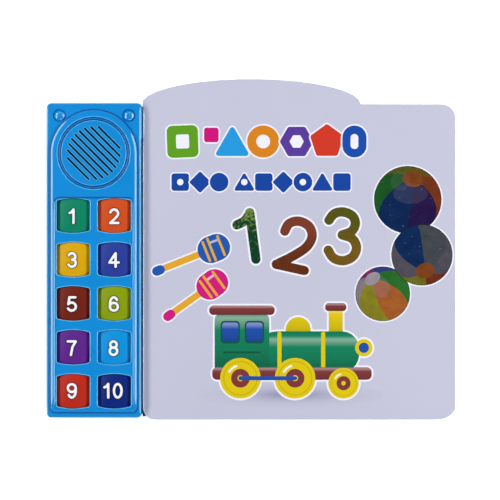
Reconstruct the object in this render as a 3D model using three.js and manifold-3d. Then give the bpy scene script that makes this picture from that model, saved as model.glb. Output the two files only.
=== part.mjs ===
// A child's sound book, lying on its back board: a board book with an arched cover,
// and beside it a moulded sound module with ten keys and a speaker.
// Millimetres, +Z up. The origin is the middle of the footprint, on the table.

import * as THREE from 'three';
import { mergeVertices } from 'three/addons/utils/BufferGeometryUtils.js';
import Module from 'manifold-3d';

const wasm = await Module();
wasm.setup();

// Clearances
const seatGap = 0.3;
const slideGap = 0.3;
const bookGap = 0.5;

// The book
const bookWidth = 261.4;
const coverHeight = 201.8;
const archRise = 16.2;
const archHalfWidth = 70.1;
const archOverhang = 0.8;
const topCornerRadius = 8.6;
const foldCornerRadius = 12.8;
const foldCornerReach = 11.2;
const freeCornerRadius = 7.7;
const backBoard = 2.8;
const leafCount = 5;
const leafThickness = 2.28;
const leafEdge = 0.35;
const leafOverlap = 0.05;
const coverBoard = 2.6;
const coverEdge = 0.6;
const spineThickness = 0.8;
const spineInset = 10;
const boardShy = 0.2;
const boardJoinReach = 12;

// The module's case
const moduleFootInset = 1.5;
const moduleCorner = 3;
const caseWall = 2;
const caseEdge = 1.6;
const floorThickness = 1.8;
const lipHeight = 2.4;
const lipThickness = 1.2;
const panelRise = 1.4;
const panelSideInset = 2.85;
const panelTopInset = 4.6;
const panelFootInset = 3.6;
const panelFootCorner = 3.2;
const panelEdge = 1.1;
const panelWall = 1.2;
const fieldDepth = 0.5;
const fieldInset = 2.4;
const fieldSideMargin = 1.35;
const fieldEndMargin = 0.5;
const fieldWall = 1.5;
const fieldFootInset = 1.9;
const fieldCorner = 2.5;

// The speaker and its grille
const grooveInnerRadius = 20.9;
const grooveOuterRadius = 23;
const grooveDepth = 0.8;
const grooveFlank = 0.45;
const slotCount = 9;
const slotPitch = 3.5;
const slotWidth = 1.4;
const slotFieldRadius = 17.3;
const slotAngle = -Math.PI / 4;
const speakerInset = 0.6;
const grilleMargin = 5.15;
const speakerRim = 1.2;
const speakerDepth = 9;
const basketRadius = 11.5;
const magnetRadius = 10.5;
const magnetHeight = 3.4;
const basketLip = 2.6;
const basketShoulder = 2;
const basketWall = 0.9;
const coilRadius = 7;
const coneWall = 0.5;
const coneDepth = 4.5;
const coneSink = 0.4;
const coneRoll = 1.5;
const capRadius = 4.2;
const capRise = 1.6;
const ribWall = 1.3;
const ribHeight = 3;

// The keys
const keyColumns = 2;
const keyRows = 5;
const keyBridgeX = 4.8;
const keyBridgeY = 5.65;
const windowWidth = 21.4;
const windowHeight = 22.3;
const windowBow = 1.15;
const windowCorner = 1.6;
const keyTravel = 1.4;
const keySink = 0.3;
const keyCrown = 1.1;
const keyEdge = 0.6;
const keyWall = 1.4;
const flangeReach = 0.8;
const flangeThickness = 1.3;
const plungerRadius = 3;

// The keypad and the circuit board
const padThickness = 0.9;
const padMargin = 1.2;
const domeHeight = 2.1;
const domeFootRadius = 5.4;
const domeTopRadius = 3.4;
const domeWall = 0.9;
const boardThickness = 1.6;
const boardMargin = 1.6;
const boardCorner = 2;
const chipRadius = 5;
const chipHeight = 1.3;

// The domed studs
const studOffsetX = 22.1;
const studTopInset = 8.1;
const studRecessRadius = 4.2;
const studRecessDepth = 1;
const studRadius = 3.6;
const studDome = 1.7;
const studRim = 0.3;
const studStemRadius = 1.5;
const studStemLength = 5;

// Screws and their bosses
const bossRadius = 2.3;
const cornerBossRadius = 3.3;
const caseScrewRadius = 1.1;
const caseScrewLength = 9.5;
const caseHeadRadius = 2.3;
const caseHeadHeight = 1.5;
const boardScrewRadius = 0.9;
const boardScrewLength = 5;
const boardHeadRadius = 2;
const boardHeadHeight = 1;
const threadGap = 0.3;
const pocketWall = 1.3;
const pocketRoof = 1.8;
const bossShoulder = 1;
const headCrownShare = 0.8;
const headHalf = 0.5;
const shankShare = 0.85;
const driveLengthShare = 1.2;
const driveWidthShare = 0.22;

// The battery bay
const cellCount = 3;
const cellRadius = 5.8;
const cellHeight = 5.4;
const cellGap = 0.6;
const cellEdge = 0.5;
const bayRow = 2;
const bayWall = 1.2;
const bayHeadroom = 0.4;
const boardClear = 0.2;
const contactThickness = 0.3;
const contactWidth = 4;
const doorThickness = 1.6;
const doorMargin = 3.2;
const doorCorner = 2.5;
const doorScrewReach = 6.6;
const hookWidth = 7;
const hookThickness = 1.2;
const hookReach = 1.8;
const doorScrewLength = 5.4;
const doorHeadRadius = 2.1;
const doorHeadHeight = 1;

// Levels above the table: the leaves, then the module from its battery bay up to its keys
const blockTop = backBoard + leafCount * leafThickness;
const coverBottom = blockTop + seatGap;
const coverTop = coverBottom + coverBoard;
const caseFoot = backBoard;
const caseSplit = caseFoot + floorThickness;
const cellFoot = caseFoot + 2 * contactThickness;
const cellTop = cellFoot + cellHeight;
const bayCeiling = cellTop + contactThickness + bayHeadroom;
const bayRoof = bayCeiling + bayWall;
const boardFoot = bayRoof + boardHeadHeight + boardClear;
const boardTop = boardFoot + boardThickness;
const padTop = boardTop + padThickness;
const domeTop = padTop + domeHeight;
const flangeFoot = domeTop + seatGap + keyTravel;
const flangeTop = flangeFoot + flangeThickness;
const panelCeiling = flangeTop + seatGap;
const fieldTop = panelCeiling + fieldWall;
const panelTop = fieldTop + fieldDepth;
const rimTop = panelTop - panelRise;
const rimCeiling = rimTop - caseWall;
const keyTop = fieldTop - keySink;
const overrun = 1;

// Sizes that follow from the keys and the grille
const keyPitchX = windowWidth + keyBridgeX;
const keyPitchY = windowHeight + keyBridgeY;
const fieldWidth = (keyColumns - 1) * keyPitchX + windowWidth + 2 * fieldSideMargin;
const fieldHeight = (keyRows - 1) * keyPitchY + windowHeight + 2 * fieldEndMargin;
const panelHalfWidth = fieldWidth / 2 + fieldInset;
const moduleWidth = 2 * (panelHalfWidth + panelSideInset);
const fieldSpan = panelFootInset + fieldFootInset + fieldHeight;
const moduleHeight = fieldSpan + grilleMargin + grooveOuterRadius + panelHalfWidth + panelTopInset;
const speakerRadius = grooveOuterRadius - speakerInset;
const archShift = archHalfWidth - archOverhang;

// Places across the book
const bookLeft = -bookWidth / 2;
const bookRight = bookWidth / 2;
const fullHeight = coverHeight + archRise;
const bookFoot = -fullHeight / 2;
const coverLeft = bookLeft + moduleWidth + bookGap;
const moduleX = bookLeft + moduleWidth / 2;
const moduleFoot = bookFoot + moduleFootInset;
const moduleHead = moduleFoot + moduleHeight;
const moduleY = (moduleFoot + moduleHead) / 2;
const speakerY = moduleHead - panelTopInset - panelHalfWidth;
const panelFoot = moduleFoot + panelFootInset;
const fieldFoot = panelFoot + fieldFootInset;
const fieldY = fieldFoot + fieldHeight / 2;
const studY = moduleHead - studTopInset;
const keyHalfWidth = windowWidth / 2;
const keyHalfHeight = windowHeight / 2;
const keyX = (column) => moduleX + (column - (keyColumns - 1) / 2) * keyPitchX;
const keyY = (row) => fieldY + ((keyRows - 1) / 2 - row) * keyPitchY;
const rowGapY = (row) => (keyY(row) + keyY(row + 1)) / 2;
const caseGapRows = [0, 3];
const boardGapRows = [1, 2];

// Finishes
const finish = (color, roughness, metalness = 0) =>
  new THREE.MeshStandardMaterial({ color, roughness, metalness, flatShading: true });
const casePlastic = finish('#0d88d4', 0.32);
const darkPlastic = finish('#1b3f6e', 0.5);
const coverPaper = finish('#c4c5dc', 0.3);
const boardPaper = finish('#dcdce6', 0.6);
const leafPaper = finish('#f1efe9', 0.7);
const screwSteel = finish('#a7a9ac', 0.35, 1);
const contactSteel = finish('#c9c5b4', 0.3, 1);
const magnetSteel = finish('#6f7275', 0.45, 1);
const coneFilm = finish('#23262b', 0.5);
const padRubber = finish('#8f959c', 0.75);
const circuitGreen = finish('#1d6b3c', 0.45);
const chipBlack = finish('#141516', 0.4);
const keyColors = [
  '#038261', '#d04e1c', '#d9a502', '#283c98', '#711e0f',
  '#879c01', '#5d2389', '#0191da', '#ba2818', '#03247b',
];

const book = new THREE.Group();
book.name = 'sound_book';

function addPiece(name, solid, material, place = [0, 0, 0]) {
  const mesh = new THREE.Mesh(toGeometry(solid), material);
  mesh.name = name;
  mesh.position.set(...place);
  book.add(mesh);
}

// Solids from geometries and back, for cutting and joining
function toSolid(geometry) {
  const bare = geometry.clone();
  bare.deleteAttribute('normal');
  bare.deleteAttribute('uv');
  const merged = mergeVertices(bare, 1e-4);
  return new wasm.Manifold(new wasm.Mesh({
    numProp: 3,
    vertProperties: new Float32Array(merged.attributes.position.array),
    triVerts: new Uint32Array(merged.index.array),
  }));
}

function toGeometry(solid) {
  const mesh = solid.getMesh();
  const geometry = new THREE.BufferGeometry();
  geometry.setAttribute('position', new THREE.BufferAttribute(mesh.vertProperties, 3));
  geometry.setIndex(new THREE.BufferAttribute(mesh.triVerts, 1));
  geometry.computeVertexNormals();
  return geometry;
}

const joined = (solids) => solids.reduce((whole, solid) => whole.add(solid));
const cutBy = (solid, tools) => tools.reduce((rest, tool) => rest.subtract(tool), solid);

function prism(shape, bottom, top, steps = 3) {
  const depth = top - bottom;
  const geometry = new THREE.ExtrudeGeometry(shape, { depth, bevelEnabled: false, curveSegments: steps });
  return toSolid(geometry.translate(0, 0, bottom));
}

// A plate whose outline is rounded over at both faces
function softPlate(shape, bottom, top, edge, rounds = 2, steps = 4) {
  const geometry = new THREE.ExtrudeGeometry(shape, {
    depth: top - bottom - 2 * edge,
    bevelThickness: edge,
    bevelSize: edge,
    bevelOffset: -edge,
    bevelSegments: rounds,
    curveSegments: steps,
  });
  return toSolid(geometry.translate(0, 0, bottom + edge));
}

// A block with straight sides and a rounded upper edge
function softBlock(shape, bottom, top, edge, rounds = 2, steps = 4) {
  const cap = softPlate(shape, top - 2 * edge, top, edge, rounds, steps);
  return cap.add(prism(shape, bottom, top - edge, steps));
}

function turned(points, x, y, sides = 14) {
  const profile = points.map(([radius, height]) => new THREE.Vector2(radius, height));
  const geometry = new THREE.LatheGeometry(profile, sides);
  geometry.rotateX(Math.PI / 2);
  return toSolid(geometry.translate(x, y, 0));
}

function post(radius, bottom, top, x, y, sides = 10) {
  return turned([[0, bottom], [radius, bottom], [radius, top], [0, top]], x, y, sides);
}

function ring(inner, outer, bottom, top, x, y, sides = 20) {
  return turned([[inner, bottom], [outer, bottom], [outer, top], [inner, top], [inner, bottom]], x, y, sides);
}

// Outlines
function roundedBox(x, y, width, height, corner) {
  const shape = new THREE.Shape();
  const halfW = width / 2 - corner;
  const halfH = height / 2 - corner;
  shape.absarc(x + halfW, y + halfH, corner, 0, Math.PI / 2);
  shape.absarc(x - halfW, y + halfH, corner, Math.PI / 2, Math.PI);
  shape.absarc(x - halfW, y - halfH, corner, Math.PI, 1.5 * Math.PI);
  shape.absarc(x + halfW, y - halfH, corner, 1.5 * Math.PI, 2 * Math.PI);
  return shape;
}

function archShape(inset) {
  const half = panelHalfWidth - inset;
  const corner = panelFootCorner - inset;
  const foot = panelFoot + inset;
  const shape = new THREE.Shape();
  shape.absarc(moduleX + half - corner, foot + corner, corner, 1.5 * Math.PI, 2 * Math.PI);
  const turns = 18;
  for (let i = 0; i <= turns; i += 1) {
    const angle = (Math.PI * i) / turns;
    shape.lineTo(moduleX + half * Math.cos(angle), speakerY + half * Math.sin(angle));
  }
  shape.absarc(moduleX - half + corner, foot + corner, corner, Math.PI, 1.5 * Math.PI);
  return shape;
}

// The cover's outline: square at the fold apart from its rounded corners, arched at the head
function coverShape(inset, foldInset, archSteps = 16) {
  const left = coverLeft + inset;
  const right = bookRight - inset - foldInset;
  const foot = bookFoot + inset;
  const head = bookFoot + coverHeight - inset;
  const archX = coverLeft + archShift;
  const halfArch = archHalfWidth - inset;
  const topCorner = topCornerRadius - inset;
  const freeCorner = freeCornerRadius - inset;
  const foldCorner = foldCornerRadius - inset;
  const foldX = bookRight - foldCornerReach;
  const foldY = bookFoot + foldCornerRadius;
  const startAngle = -Math.acos((right - foldX) / foldCorner);
  const shape = new THREE.Shape();
  shape.absarc(foldX, foldY, foldCorner, -Math.PI / 2, startAngle);
  shape.absarc(right - topCorner, head - topCorner, topCorner, 0, Math.PI / 2);
  const endAngle = Math.acos((left - archX) / halfArch);
  for (let i = 0; i <= archSteps; i += 1) {
    const angle = (endAngle * i) / archSteps;
    shape.lineTo(archX + halfArch * Math.cos(angle), head + archRise * Math.sin(angle));
  }
  shape.absarc(left + freeCorner, foot + freeCorner, freeCorner, Math.PI, 1.5 * Math.PI);
  return shape;
}

// A key's outline: straight sides, bowed head and foot
function keyShape(x, y, inset) {
  const halfW = keyHalfWidth - inset;
  const sideY = keyHalfHeight - windowBow - inset;
  const corner = windowCorner - inset;
  const bow = windowBow / (halfW - corner) ** 2;
  const turns = 4;
  const cornerY = sideY - corner;
  const shape = new THREE.Shape();
  shape.absarc(x + halfW - corner, y - cornerY, corner, -Math.PI / 2, 0);
  shape.absarc(x + halfW - corner, y + cornerY, corner, 0, Math.PI / 2);
  for (let i = 1; i < turns; i += 1) {
    const across = (halfW - corner) * (1 - (2 * i) / turns);
    shape.lineTo(x + across, y + sideY + windowBow - bow * across ** 2);
  }
  shape.absarc(x - halfW + corner, y + cornerY, corner, Math.PI / 2, Math.PI);
  shape.absarc(x - halfW + corner, y - cornerY, corner, Math.PI, 1.5 * Math.PI);
  for (let i = 1; i < turns; i += 1) {
    const across = (halfW - corner) * ((2 * i) / turns - 1);
    shape.lineTo(x + across, y - sideY - windowBow + bow * across ** 2);
  }
  return shape;
}

// A grille slot: a bar with round ends, laid on the slant
function slotShape(offset) {
  const half = Math.sqrt(slotFieldRadius ** 2 - offset ** 2) - slotWidth / 2;
  const along = new THREE.Vector2(Math.cos(slotAngle), Math.sin(slotAngle));
  const across = new THREE.Vector2(-along.y, along.x);
  const centre = new THREE.Vector2(moduleX, speakerY).addScaledVector(across, offset);
  const head = centre.clone().addScaledVector(along, half);
  const tail = centre.clone().addScaledVector(along, -half);
  const shape = new THREE.Shape();
  shape.absarc(head.x, head.y, slotWidth / 2, slotAngle - Math.PI / 2, slotAngle + Math.PI / 2);
  shape.absarc(tail.x, tail.y, slotWidth / 2, slotAngle + Math.PI / 2, slotAngle + 1.5 * Math.PI);
  return shape;
}

function block(width, length, bottom, top, x, y) {
  const geometry = new THREE.BoxGeometry(width, length, top - bottom);
  return toSolid(geometry.translate(x, y, (bottom + top) / 2));
}

// The battery bay's places: the cells lie in a row across the module
const cellPitch = 2 * cellRadius + cellGap;
const bayWidth = cellCount * cellPitch + cellGap;
const bayLength = 2 * (cellRadius + cellGap);
const bayY = keyY(bayRow);
const bayX = moduleX - doorScrewReach / 2;
const cellX = (index) => bayX + (index - (cellCount - 1) / 2) * cellPitch;
const doorLeft = bayX - bayWidth / 2 - doorMargin;
const doorRight = bayX + bayWidth / 2 + doorMargin + doorScrewReach;
const doorWidth = doorRight - doorLeft;
const doorX = (doorLeft + doorRight) / 2;
const doorLength = bayLength + doorMargin;
const doorTop = caseFoot - seatGap / 2;
const doorFoot = doorTop - doorThickness;
const doorScrewX = bayX + bayWidth / 2 + doorMargin + doorScrewReach / 2 - bayWall;
const hookX = doorLeft + hookThickness;

// Board book
function makeBackCover() {
  const boardLength = moduleHeight - 2 * boardShy;
  const leftBoard = roundedBox(moduleX, moduleY, moduleWidth - 2 * boardShy, boardLength, moduleCorner);
  const whole = prism(coverShape(0, 0), 0, backBoard)
    .add(prism(leftBoard, 0, backBoard))
    .add(block(2 * boardJoinReach, boardLength, 0, backBoard, coverLeft, moduleY));
  const doorHole = roundedBox(
    doorX, bayY, doorWidth + 2 * slideGap, doorLength + 2 * slideGap, doorCorner + slideGap);
  return whole.subtract(prism(doorHole, -overrun, backBoard + overrun, 3));
}

function makePageBlock() {
  const leaves = [];
  const outline = coverShape(0, spineThickness, 8);
  for (let i = 0; i < leafCount; i += 1) {
    const foot = backBoard + i * leafThickness;
    const top = i === leafCount - 1 ? blockTop : foot + leafThickness + leafOverlap;
    leaves.push(softPlate(outline, foot, top, leafEdge, 1, 2));
  }
  return joined(leaves);
}

addPiece('back_cover', makeBackCover(), boardPaper);
addPiece('page_block', makePageBlock(), leafPaper);
addPiece('front_cover', softPlate(coverShape(0, 0), coverBottom, coverTop, coverEdge, 2, 3), coverPaper);

const spineFoot = bookFoot + foldCornerRadius;
const spineHead = bookFoot + coverHeight - spineInset;
addPiece(
  'spine',
  block(spineThickness, spineHead - spineFoot, backBoard, blockTop,
    bookRight - spineThickness / 2, (spineFoot + spineHead) / 2),
  coverPaper);

// Front housing: the moulded shell with its raised arched panel, grille, key windows and bosses
function makeFrontHousing() {
  const outline = roundedBox(moduleX, moduleY, moduleWidth, moduleHeight, moduleCorner);
  const inside = roundedBox(
    moduleX, moduleY, moduleWidth - 2 * caseWall, moduleHeight - 2 * caseWall, moduleCorner - caseWall / 2);
  const shell = softBlock(outline, caseSplit, rimTop, caseEdge, 2, 3)
    .add(softBlock(archShape(0), rimCeiling, panelTop, panelEdge, 2, 3))
    .subtract(prism(inside, caseSplit - overrun, rimCeiling, 2))
    .subtract(prism(archShape(panelWall), rimCeiling - overrun, panelCeiling, 2));

  const bosses = [ring(
    speakerRadius + slideGap, speakerRadius + slideGap + ribWall,
    panelCeiling - ribHeight, panelCeiling + seatGap, moduleX, speakerY)];
  for (const side of [-1, 1]) {
    const x = moduleX + side * studOffsetX;
    bosses.push(post(cornerBossRadius, caseSplit + pocketRoof + seatGap, rimTop - studRecessDepth, x, studY));
  }
  for (const row of caseGapRows) {
    const foot = caseSplit + pocketRoof + seatGap;
    bosses.push(post(bossRadius, foot, panelCeiling + seatGap, moduleX, rowGapY(row)));
  }
  for (const row of boardGapRows) {
    bosses.push(post(bossRadius, boardTop, panelCeiling + seatGap, moduleX, rowGapY(row)));
  }

  const cuts = [];
  const field = roundedBox(moduleX, fieldY, fieldWidth, fieldHeight, fieldCorner);
  cuts.push(prism(field, fieldTop, panelTop + overrun, 3));
  for (let row = 0; row < keyRows; row += 1) {
    for (let column = 0; column < keyColumns; column += 1) {
      const opening = keyShape(keyX(column), keyY(row), 0);
      cuts.push(prism(opening, panelCeiling - overrun, panelTop + overrun, 2));
    }
  }
  for (let i = 0; i < slotCount; i += 1) {
    const offset = (i - (slotCount - 1) / 2) * slotPitch;
    cuts.push(prism(slotShape(offset), panelCeiling - overrun, panelTop + overrun, 3));
  }
  cuts.push(turned([
    [grooveInnerRadius + grooveFlank, panelTop - grooveDepth],
    [grooveOuterRadius - grooveFlank, panelTop - grooveDepth],
    [grooveOuterRadius, panelTop],
    [grooveOuterRadius, panelTop + overrun],
    [grooveInnerRadius, panelTop + overrun],
    [grooveInnerRadius, panelTop],
    [grooveInnerRadius + grooveFlank, panelTop - grooveDepth],
  ], moduleX, speakerY, 24));
  for (const side of [-1, 1]) {
    const x = moduleX + side * studOffsetX;
    const floor = rimTop - studRecessDepth;
    cuts.push(post(studRecessRadius, floor, rimTop + overrun, x, studY, 16));
    cuts.push(post(studStemRadius + slideGap, floor - studStemLength - seatGap, rimTop, x, studY, 8));
    cuts.push(pilot(caseScrewRadius, caseScrewLength, caseFoot + caseHeadHeight, x, studY));
  }
  for (const row of caseGapRows) {
    cuts.push(pilot(caseScrewRadius, caseScrewLength, caseFoot + caseHeadHeight, moduleX, rowGapY(row)));
  }
  for (const row of boardGapRows) {
    cuts.push(pilot(boardScrewRadius, boardScrewLength, boardFoot, moduleX, rowGapY(row)));
  }
  return cutBy(joined([shell, ...bosses]), cuts);
}

function pilot(radius, length, foot, x, y) {
  return post(radius + threadGap, foot, foot + length + threadGap, x, y, 8);
}

addPiece('front_housing', makeFrontHousing(), casePlastic);

// Rear housing: the floor with its locating lip, the battery bay and the screw pockets
function makeRearHousing() {
  const inner = moduleWidth - 2 * (caseWall + slideGap);
  const innerLength = moduleHeight - 2 * (caseWall + slideGap);
  const outline = roundedBox(moduleX, moduleY, moduleWidth, moduleHeight, moduleCorner);
  const lipOuter = roundedBox(moduleX, moduleY, inner, innerLength, moduleCorner - caseWall / 2);
  const lipInner = roundedBox(
    moduleX, moduleY, inner - 2 * lipThickness, innerLength - 2 * lipThickness, moduleCorner - caseWall / 2);
  const lip = prism(lipOuter, caseSplit - floorThickness / 2, caseSplit + lipHeight, 2)
    .subtract(prism(lipInner, caseFoot, caseSplit + lipHeight + overrun, 2));

  const bayOutline = roundedBox(bayX, bayY, bayWidth + 2 * bayWall, bayLength + 2 * bayWall, bayWall);
  const bayInside = roundedBox(bayX, bayY, bayWidth, bayLength, bayWall / 2);
  const pockets = screwPlaces().map(([x, y]) =>
    post(caseHeadRadius + seatGap + pocketWall, caseFoot, caseSplit + pocketRoof, x, y));
  const pocketCuts = screwPlaces().flatMap(([x, y]) => [
    post(caseHeadRadius + seatGap, caseFoot - overrun, caseFoot + caseHeadHeight + seatGap, x, y),
    post(caseScrewRadius + threadGap, caseFoot, caseSplit + pocketRoof + overrun, x, y, 8),
  ]);
  const doorBossTop = caseFoot + doorScrewLength + seatGap + bossShoulder;
  const doorBoss = post(bossRadius, caseFoot, doorBossTop, doorScrewX, bayY);
  const hookSlot = block(
    hookThickness + 2 * slideGap, hookWidth + 2 * slideGap,
    caseFoot - overrun, caseSplit + overrun, hookX, bayY);
  return cutBy(
    joined([
      prism(outline, caseFoot, caseSplit),
      lip,
      prism(bayOutline, caseFoot, bayRoof, 2),
      doorBoss,
      ...pockets,
    ]),
    [
      prism(bayInside, caseFoot - overrun, bayCeiling, 2),
      pilot(boardScrewRadius, doorScrewLength, caseFoot - overrun, doorScrewX, bayY),
      hookSlot,
      ...pocketCuts,
    ]);
}

function screwPlaces() {
  return [
    [moduleX - studOffsetX, studY],
    [moduleX + studOffsetX, studY],
    ...caseGapRows.map((row) => [moduleX, rowGapY(row)]),
  ];
}

addPiece('rear_housing', makeRearHousing(), darkPlastic);

// A pan-head screw, head down, with a slotted recess; its threads are left plain
function makeScrew(radius, length, headRadius, headHeight, foot, x, y) {
  const body = turned([
    [0, foot],
    [headRadius * headCrownShare, foot],
    [headRadius, foot + headHeight * headHalf],
    [headRadius, foot + headHeight],
    [radius, foot + headHeight],
    [radius, foot + headHeight + length * shankShare],
    [0, foot + headHeight + length],
  ], x, y, 8);
  const drive = block(
    headRadius * driveLengthShare, headRadius * driveWidthShare,
    foot - overrun, foot + headHeight * headHalf, x, y);
  return body.subtract(drive);
}

screwPlaces().forEach(([x, y], i) => {
  const screw = makeScrew(
    caseScrewRadius, caseScrewLength - caseHeadHeight, caseHeadRadius, caseHeadHeight,
    caseFoot + seatGap, x, y);
  addPiece(`case_screw_${i + 1}`, screw, screwSteel);
});

boardGapRows.forEach((row, i) => {
  const screw = makeScrew(
    boardScrewRadius, boardScrewLength - boardHeadHeight, boardHeadRadius, boardHeadHeight,
    boardFoot - boardHeadHeight, moduleX, rowGapY(row));
  addPiece(`board_screw_${i + 1}`, screw, screwSteel);
});

// Domed studs that close the two upper boss holes
[-1, 1].forEach((side, i) => {
  const foot = rimTop - studRecessDepth;
  const profile = [[0, foot - studStemLength], [studStemRadius, foot - studStemLength], [studStemRadius, foot]];
  const sphere = (studRadius ** 2 + studDome ** 2) / (2 * studDome);
  const steps = 3;
  profile.push([studRadius, foot]);
  for (let step = 0; step < steps; step += 1) {
    const radius = studRadius * Math.cos((Math.PI / 2) * (step / steps));
    profile.push([radius, foot + studRim + studDome - sphere + Math.sqrt(sphere ** 2 - radius ** 2)]);
  }
  profile.push([0, foot + studRim + studDome]);
  const name = i === 0 ? 'dome_stud_left' : 'dome_stud_right';
  addPiece(name, turned(profile, moduleX + side * studOffsetX, studY), casePlastic);
});

// Keys: a barrel-crowned cap with a retaining flange and a plunger
function makeKey() {
  const outline = keyShape(0, 0, slideGap);
  const halfW = keyHalfWidth - slideGap;
  const barrel = new THREE.Shape();
  const turns = 6;
  const shoulder = keyTop - keyCrown;
  barrel.moveTo(-halfW - overrun, flangeFoot - overrun);
  barrel.lineTo(halfW + overrun, flangeFoot - overrun);
  barrel.lineTo(halfW + overrun, shoulder - keyEdge);
  for (let i = 0; i <= turns; i += 1) {
    const across = halfW * (1 - (2 * i) / turns);
    barrel.lineTo(across, keyTop - keyCrown * (across / halfW) ** 2 - (i % turns === 0 ? keyEdge : 0));
  }
  barrel.lineTo(-halfW - overrun, shoulder - keyEdge);
  const crown = new THREE.ExtrudeGeometry(barrel, { depth: 2 * windowHeight, bevelEnabled: false });
  crown.rotateX(Math.PI / 2).translate(0, windowHeight, 0);
  const cap = prism(outline, flangeFoot, keyTop + overrun, 2).intersect(toSolid(crown));
  const flangeShape = roundedBox(
    0, 0, windowWidth + 2 * flangeReach, windowHeight + 2 * flangeReach, windowCorner);
  const flange = prism(flangeShape, flangeFoot, flangeTop, 1);
  const wall = slideGap + keyWall;
  const hollowLength = windowHeight - 2 * (windowBow + wall);
  const hollowShape = roundedBox(0, 0, windowWidth - 2 * wall, hollowLength, windowCorner);
  const hollow = prism(hollowShape, flangeFoot - overrun, panelCeiling, 1);
  const plunger = post(plungerRadius, domeTop + seatGap, panelCeiling + seatGap, 0, 0, 8);
  return cap.add(flange).subtract(hollow).add(plunger);
}

// Keypad: a rubber sheet with a hollow dome under each key
function makeKeypad() {
  const width = fieldWidth - 2 * padMargin;
  const length = fieldHeight - 2 * padMargin;
  const sheet = prism(roundedBox(moduleX, fieldY, width, length, boardCorner), boardTop, padTop, 2);
  const domes = [];
  const hollows = [];
  for (let row = 0; row < keyRows; row += 1) {
    for (let column = 0; column < keyColumns; column += 1) {
      const x = keyX(column);
      const y = keyY(row);
      domes.push(turned([
        [0, boardTop], [domeFootRadius, boardTop], [domeFootRadius, padTop],
        [domeTopRadius, domeTop], [0, domeTop],
      ], x, y, 8));
      hollows.push(turned([
        [0, boardTop - overrun], [domeFootRadius - domeWall, boardTop - overrun],
        [domeFootRadius - domeWall, padTop],
        [domeTopRadius - domeWall, domeTop - domeWall], [0, domeTop - domeWall],
      ], x, y, 6));
    }
  }
  const holes = [...caseGapRows, ...boardGapRows].map((row) =>
    post(bossRadius + seatGap, boardTop - overrun, padTop + overrun, moduleX, rowGapY(row)));
  return cutBy(joined([sheet, ...domes]), [...hollows, ...holes]);
}

function makeBoard() {
  const width = moduleWidth - 2 * (caseWall + boardMargin);
  const length = fieldHeight;
  const board = prism(roundedBox(moduleX, fieldY, width, length, boardCorner), boardFoot, boardTop, 2);
  const clear = caseGapRows.map((row) =>
    post(bossRadius + seatGap, boardFoot - overrun, boardTop + overrun, moduleX, rowGapY(row)));
  const screwed = boardGapRows.map((row) =>
    post(boardScrewRadius + threadGap, boardFoot - overrun, boardTop + overrun, moduleX, rowGapY(row), 8));
  return cutBy(board, [...clear, ...screwed]);
}

const key = makeKey();
for (let row = 0; row < keyRows; row += 1) {
  for (let column = 0; column < keyColumns; column += 1) {
    const number = row * keyColumns + column + 1;
    addPiece(`button_${number}`, key, finish(keyColors[number - 1], 0.3), [keyX(column), keyY(row), 0]);
  }
}
addPiece('keypad_membrane', makeKeypad(), padRubber);
addPiece('circuit_board', makeBoard(), circuitGreen);

const chipX = keyX(1);
const chipY = keyY(keyRows - 1);
const chipProfile = [];
const chipSteps = 3;
for (let step = 0; step <= chipSteps; step += 1) {
  const angle = (Math.PI / 2) * (step / chipSteps);
  chipProfile.push([chipRadius * Math.sin(angle), boardFoot - chipHeight * Math.cos(angle)]);
}
chipProfile.push([0, boardFoot]);
addPiece('sound_chip', turned(chipProfile, chipX, chipY, 12), chipBlack);

// Speaker: a pressed basket seated against the grille, its cone and its magnet
const speakerTop = panelCeiling - seatGap;
const basketFoot = speakerTop - speakerDepth;
const rimFoot = speakerTop - speakerRim;
addPiece('speaker_basket', turned([
  [coilRadius, basketFoot],
  [basketRadius, basketFoot],
  [speakerRadius - basketShoulder, rimFoot],
  [speakerRadius, rimFoot],
  [speakerRadius, speakerTop],
  [speakerRadius - basketLip, speakerTop],
  [speakerRadius - basketLip, rimFoot + basketWall / 2],
  [basketRadius, basketFoot + basketWall],
  [coilRadius, basketFoot + basketWall],
  [coilRadius, basketFoot],
], moduleX, speakerY), magnetSteel);

const coneEdge = speakerRadius - basketLip - seatGap;
const coneTop = speakerTop - coneSink;
const coneFoot = coneTop - coneDepth;
addPiece('speaker_cone', turned([
  [0, coneFoot + capRise],
  [capRadius, coneFoot + capRise / 2],
  [coilRadius, coneFoot],
  [coneEdge - coneRoll, coneTop - coneWall],
  [coneEdge, coneTop - coneWall],
  [coneEdge, coneTop],
  [coneEdge - coneRoll, coneTop],
  [coilRadius, coneFoot + coneWall],
  [capRadius, coneFoot + capRise / 2 + coneWall],
  [0, coneFoot + capRise + coneWall],
], moduleX, speakerY), coneFilm);

addPiece(
  'speaker_magnet',
  post(magnetRadius, basketFoot - magnetHeight, basketFoot, moduleX, speakerY, 14),
  magnetSteel);

// Battery bay: three button cells, their contacts, and the screwed door
function makeDoor() {
  const plate = prism(roundedBox(doorX, bayY, doorWidth, doorLength, doorCorner), doorFoot, doorTop, 3);
  const neckTop = caseSplit + seatGap + hookThickness;
  const neck = block(hookThickness, hookWidth, doorTop - doorThickness / 2, neckTop, hookX, bayY);
  const barb = block(
    hookThickness + hookReach, hookWidth, caseSplit + seatGap, neckTop, hookX - hookReach / 2, bayY);
  const under = doorFoot - overrun;
  const screwHole = post(boardScrewRadius + threadGap, under, doorTop + overrun, doorScrewX, bayY, 8);
  const headPocket = post(doorHeadRadius + seatGap, under, doorFoot + doorHeadHeight, doorScrewX, bayY);
  return cutBy(joined([plate, neck, barb]), [screwHole, headPocket]);
}

addPiece('battery_door', makeDoor(), darkPlastic);
addPiece(
  'battery_door_screw',
  makeScrew(boardScrewRadius, doorScrewLength - doorHeadHeight, doorHeadRadius, doorHeadHeight,
    doorFoot, doorScrewX, bayY),
  screwSteel);

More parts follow.
